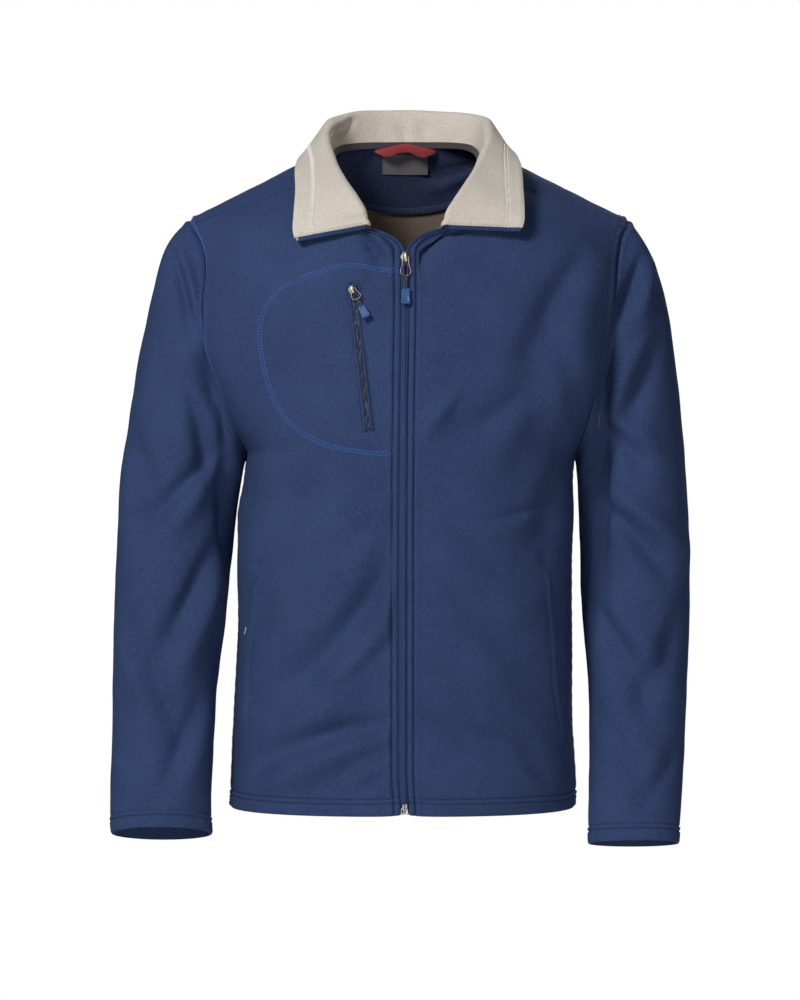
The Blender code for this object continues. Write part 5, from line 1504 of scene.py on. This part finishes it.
# The slider's body, as its right half in X and Z, and its layers in depth and share of that size.
SLIDER_HALF = [(0, 0.0056), (0.0022, 0.0053), (0.0037, 0.0034), (0.0050, 0.0012), (0.0056, -0.0008)]
SLIDER_HALF += [(0.0049, -0.0032), (0.0040, -0.0056), (0.0031, -0.0071), (0, -0.0072)]
SLIDER_LAYERS = [(0.0004, 0.90), (-0.0002, 0.98), (-0.0010, 1.0), (-0.0016, 0.97), (-0.0019, 0.88)]
HOOD = """
z        out     half
0.0058   0.0014  0.0009
0.0052   0.0031  0.0013
0.0040   0.0044  0.0015
0.0020   0.0053  0.0016
0.0000   0.0056  0.0016
-0.0030  0.0053  0.0016
-0.0052  0.0047  0.0016
-0.0066  0.0036  0.0015
-0.0073  0.0014  0.0012
"""
HOOD_BASE = 0.0010


def slider(bm, scale, hood_wide):
    """A slider's body in a darker copy of the plate, as painted shade for the dark cloth it reflects, with
    its hood over the bail's bar in the plain plate.
    """
    stacked(bm, rounded(SLIDER_HALF, 48) * scale, SLIDER_LAYERS)
    for face in bm.faces:
        face.material_index = 1
    t = table(HOOD)
    turn = np.linspace(0, pi, 17)
    rings = []
    for at in np.linspace(0, len(t["z"]) - 1, 33):
        z, out, half = (float(smooth(t[name], at)) for name in ("z", "out", "half"))
        arch_x = np.sign(np.cos(turn)) * np.abs(np.cos(turn)) ** 0.6 * half * hood_wide
        arch_y = -HOOD_BASE - (out - HOOD_BASE) * np.sin(turn) ** 0.4
        rings.append([(x, y, z * scale) for x, y in zip(arch_x, arch_y)])
    tube_mesh(bm, rings)


WIRE = 0.0006
BAIL_BEND = 0.0005  # how far its foot stands off


def bail(bm, length, width):
    """A pear-shaped loop of wire, hanging from its straight top bar."""
    low = width / 2 - WIRE
    top = [(0, 0), (0.0020, 0), (0.0028, -0.0013), (0.0029, -0.2 * length)]
    foot = [(0.0034, 0.40), (0.0042, 0.56), (low, 0.77), (low * 0.93, 0.88), (low * 0.62, 0.965), (0, 1.0)]
    outline = rounded(top + [(x, -z * length) for x, z in foot], 72)
    wire(bm, [(x, -BAIL_BEND * (z / length) ** 2, z) for x, z in outline], WIRE, closed=True)


CORD_RADIUS, BRAID, BRAID_LENGTH = 0.00088, 0.13, 0.0021


def pull_cord(bm, loop_z, length, tab_top):
    """A cord whose loop lies inside the bail and whose two ends pass behind it, down into the tab."""
    behind = WIRE + CORD_RADIUS - BAIL_BEND
    in_tab = [(0.0009, -0.0002, tab_top - 0.0012), (0.0009, -0.0002, tab_top + 0.0016)]
    past_foot = [(0.0010, behind * 0.9, -length - 0.0016), (0.0012, behind, -length + 0.0002)]
    in_bail = [(0.0022, behind * 0.5, -length + 0.0034), (0.0022, 0, loop_z - 0.0034)]
    half = in_tab + past_foot + in_bail + [(0.0016, 0, loop_z - 0.0010), (0, 0, loop_z)]
    path = curve_through(half + [(-x, y, z) for x, y, z in half[-2::-1]], 190)
    phase = run(path, 0)[:, None] * pi / BRAID_LENGTH
    strands = np.abs(np.sin(phase + WIRE_TURN)) + np.abs(np.sin(phase - WIRE_TURN))
    wire(bm, path, CORD_RADIUS * (1 - BRAID + BRAID * strands))


TAB_FRONT, TAB_BACK, TAB_OUT = 0.0021, 0.0012, 0.0003
TAB_NOTCH = 0.0015  # the V where the cord goes in
# Its section's right half, in shares of its width and depth. A depth of TAB_SUNK is in the sunk middle.
TAB_SUNK = 0.8
TAB_SECTION = [(0, TAB_SUNK), (0.10, TAB_SUNK), (0.24, TAB_SUNK), (0.58, TAB_SUNK)]
TAB_SECTION += [(0.68, 1), (0.82, 0.96), (0.95, 0.55), (1.0, 0.05), (0.97, -0.5)]
TAB_SECTION += [(0.80, -1), (0.24, -1), (0.10, -1), (0, -1)]
TAB_TOP, TAB_FOOT = [0, 0.008, 0.03, 0.07, 0.12, 0.16], [0.80, 0.84, 0.87, 0.90, 0.93, 0.96, 0.985, 1.0]


def tab(bm, top, length, top_width, bottom_width):
    """A moulded tab with a sunk middle, sloping sides and rounded ends."""
    half = mirrored(TAB_SECTION)
    share = np.concatenate([TAB_TOP, np.linspace(0.2, 0.76, 8), TAB_FOOT])
    ends = np.clip(np.minimum(share / 0.07, (1 - share) / 0.13), 0, 1)
    rings = []
    for t, end in zip(share, ends):
        square = 0.72 if t < 0.5 else 0.56
        width = (top_width + (bottom_width - top_width) * t) / 2
        width *= square + (1 - square) * np.sqrt(1 - (1 - end) ** 2)
        thick = 0.45 + 0.55 * np.sqrt(1 - (1 - end) ** 2)
        ring = []
        for x, y in half:
            notch = TAB_NOTCH * max(0, 1 - abs(x) / 0.24) * max(0, 1 - t / 0.14)
            high = 1 if y == TAB_SUNK and not 0.14 < t < 0.82 else y  # with a rim at both ends
            out = high * (TAB_FRONT if y > 0 else TAB_BACK) * thick + TAB_OUT
            ring.append((x * width, -out, top - length * t - notch))
        rings.append(ring)
    tube_mesh(bm, rings)


def plated(name, colour, roughness):
    """Nickel plate on die-cast zinc: bright where it faces a light, with a faint uneven grain."""
    mat, tree, shader = new_material(name, colour, roughness, 1.0)
    grain = noise(tree, object_place(tree), 900.0)
    reach = {"Value": grain, "To Min": roughness - 0.06, "To Max": roughness + 0.10}
    rough = node(tree, "ShaderNodeMapRange", reach)
    tree.links.new(rough.outputs[0], shader.inputs["Roughness"])
    bump_by(tree, shader, grain, 0.00006)
    return mat


def braided_cord(name, base, flecks):
    """Braided polyester: a dark ground with small flecks of two other yarns."""
    mat, tree, shader = new_material(name, base, 0.6, Sheen_Weight=0.15)
    place = object_place(tree)
    colour = linear(base)
    for fleck, offset, rare in zip(flecks, (0.0, 3.7), (0.58, 0.66)):
        moved = node(tree, "ShaderNodeVectorMath", {0: place, 1: (offset, offset, offset)}, operation="ADD")
        yarn = noise(tree, moved.outputs[0], 900.0, detail=0.0)
        colour = flecked(tree, colour, fleck, yarn, rare, 0.05)
    tree.links.new(colour, shader.inputs["Base Color"])
    return mat


def moulded(name, colour, roughness):
    """Injection-moulded soft PVC: a satin skin with a very fine spark-eroded grain."""
    mat, tree, shader = new_material(name, colour, roughness)
    bump_by(tree, shader, noise(tree, object_place(tree), 3000.0), 0.00004)
    return mat


nickel = plated("nickel_plate", "#D9D5CF", 0.38)
wire_nickel = plated("nickel_plate_wire", "#918D86", 0.38)
# a darker copy of the same nickel plate, as painted shade: on the sliders' bodies and in the zip box's pin
# hole
nickel_painted_shade = plated("nickel_plate_painted_shade", "#7F7A73", 0.48)
cord_yarn = braided_cord("braided_cord_navy", "#1F2340", ("#4C5688", "#743450"))
tab_pvc = moulded("moulded_pvc_blue", "#2F5690", 0.42)

FRONT_SLIDER = trim_frame((0, -0.11167, -0.12155), (1, 0, 0), (0, -0.965, 0.262))
CHEST_ACROSS, CHEST_OUT = (0.99072, -0.0469, 0.12757), (-0.0816, -0.958, 0.278)
CHEST_SLIDER = trim_frame((-0.05558, -0.11993, -0.1563), CHEST_ACROSS, CHEST_OUT)
CHEST_TURN = Matrix.Rotation(radians(-19), 4, "Y")
TO_BAR = Matrix.Translation((0, -BAR_OUT, 0))
BAILS = {"zip": (0.0222, 0.0119), "chest": (0.0132, 0.0106)}  # length and width
TABS = {"zip": (-0.0362, 0.0172, 0.0090, 0.0108), "chest": (-0.0222, 0.0137, 0.0078, 0.0100)}  # as in tab
PULLS = {
    # prefix: body, the slider's frame, its scale and its hood's width, the pull's turn, the loop's top
    "zip": ("front_pull", FRONT_SLIDER, 1.0, 1.2, Matrix.Identity(4), -0.0086),
    "chest": ("chest_pull", CHEST_SLIDER, 0.82, 1.25, CHEST_TURN, -0.0072),
}
for prefix, (body, at, scale, hood_wide, turn, loop_z) in PULLS.items():
    bar = at @ turn @ TO_BAR
    bail_size, tab_size = BAILS[prefix], TABS[prefix]
    cord_size = (loop_z, bail_size[0], tab_size[0])
    parts = {
        "_slider": (at, [nickel, nickel_painted_shade], lambda bm: slider(bm, scale, hood_wide), "jacket", "nickel"),
        "_bail": (bar, [wire_nickel], lambda bm: bail(bm, *bail_size), body, "nickel"),
        "_pull_cord": (bar, [cord_yarn], lambda bm: pull_cord(bm, *cord_size), body, "cord_navy"),
        "_pull_tab": (bar, [tab_pvc], lambda bm: tab(bm, *tab_size), body, "tab_blue"),
    }
    for suffix, (place, mats, add_to, rides_on, slot) in parts.items():
        piece = trim(prefix + suffix + "_trim", place, mats, add_to, rides_on)
        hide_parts(prefix + suffix)

# ---- zip box and stops ---------------------------------------------------------------------
# At the hem a nickel-plated box takes the pin of the other half, each under a short clamp on its own row of
# coil. A bent wire stop closes each row at the collar's points.

BOX_MIDDLE = Vector((-0.0012, -0.1266, -0.7003))
BOX_HALF_WIDTH, BOX_HALF_HEIGHT, BOX_HALF_DEPTH = 0.0038, 0.0034, 0.0015
CLAMP_HALF, CLAMP_HIGH = 0.0011, 0.0046
PIN_HOLE = (-0.0021, 0.0003, 0.0008, 0.0014)  # its middle and its half width and height


def block(bm, x, z, half_x, half_z, out, corner=0.0006):
    """A block with rounded edges, whose face stands out from the box's middle."""
    outline = []
    for sign_x, sign_z, start in ((1, 1, 0), (-1, 1, pi / 2), (-1, -1, pi), (1, -1, 3 * pi / 2)):
        corner_x, corner_z = x + sign_x * (half_x - corner), z + sign_z * (half_z - corner)
        for t in np.linspace(start, start + pi / 2, 4):
            outline.append((corner_x + corner * np.cos(t), corner_z + corner * np.sin(t)))
    behind = [(BOX_HALF_DEPTH, 0.94), (BOX_HALF_DEPTH - 0.0003, 1)]
    stacked(bm, outline, behind + [(-out + 0.0008, 1), (-out + 0.0003, 0.92), (-out, 0.76)])


def zip_box(bm):
    """A box in two halves, a frame round the pin's hole and a plain block, with a clamp over each."""
    hole_x, hole_z, hole_half_x, hole_half_z = PIN_HOLE
    left, right, low, high = -0.0037, -0.0001, -BOX_HALF_HEIGHT, BOX_HALF_HEIGHT
    sides = (
        # x and z from and to, round the hole
        (left, hole_x - hole_half_x, low, high),
        (hole_x + hole_half_x, right, low, high),
        (left + 0.0003, right - 0.0003, hole_z + hole_half_z, high),
        (left + 0.0003, right - 0.0003, low, hole_z - hole_half_z),
    )
    for x0, x1, z0, z1 in sides:
        block(bm, (x0 + x1) / 2, (z0 + z1) / 2, (x1 - x0) / 2, (z1 - z0) / 2, BOX_HALF_DEPTH, 0.0003)
    block(bm, 0.0020, 0, 0.0017, BOX_HALF_HEIGHT * 0.96, BOX_HALF_DEPTH - 0.0003)
    block(bm, 0, -BOX_HALF_HEIGHT + 0.0006, BOX_HALF_WIDTH, 0.0008, BOX_HALF_DEPTH - 0.0002, 0.0003)
    for x, high in ((-0.0013, CLAMP_HIGH * 0.92), (0.0016, CLAMP_HIGH)):
        middle = BOX_HALF_HEIGHT + high / 2 - 0.0002
        block(bm, x, middle, CLAMP_HALF, high / 2, BOX_HALF_DEPTH - 0.0004, 0.0004)
    bright = len(bm.faces)
    # the block in the pin's hole takes the darker copy of the plate, as painted shade in the hole
    block(bm, hole_x, hole_z, 0.0014, 0.0022, -BOX_HALF_DEPTH + 0.0006, 0.0003)
    bm.faces.ensure_lookup_table()
    for face in bm.faces[bright:]:
        face.material_index = 1


box_piece = trim("zip_box_trim", Matrix.Translation(BOX_MIDDLE), [nickel, nickel_painted_shade], zip_box)
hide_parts("zip_box")
for name in ("top_stop_right", "top_stop_left"):
    frame["nodes"][name].material_slots[0].material = wire_nickel
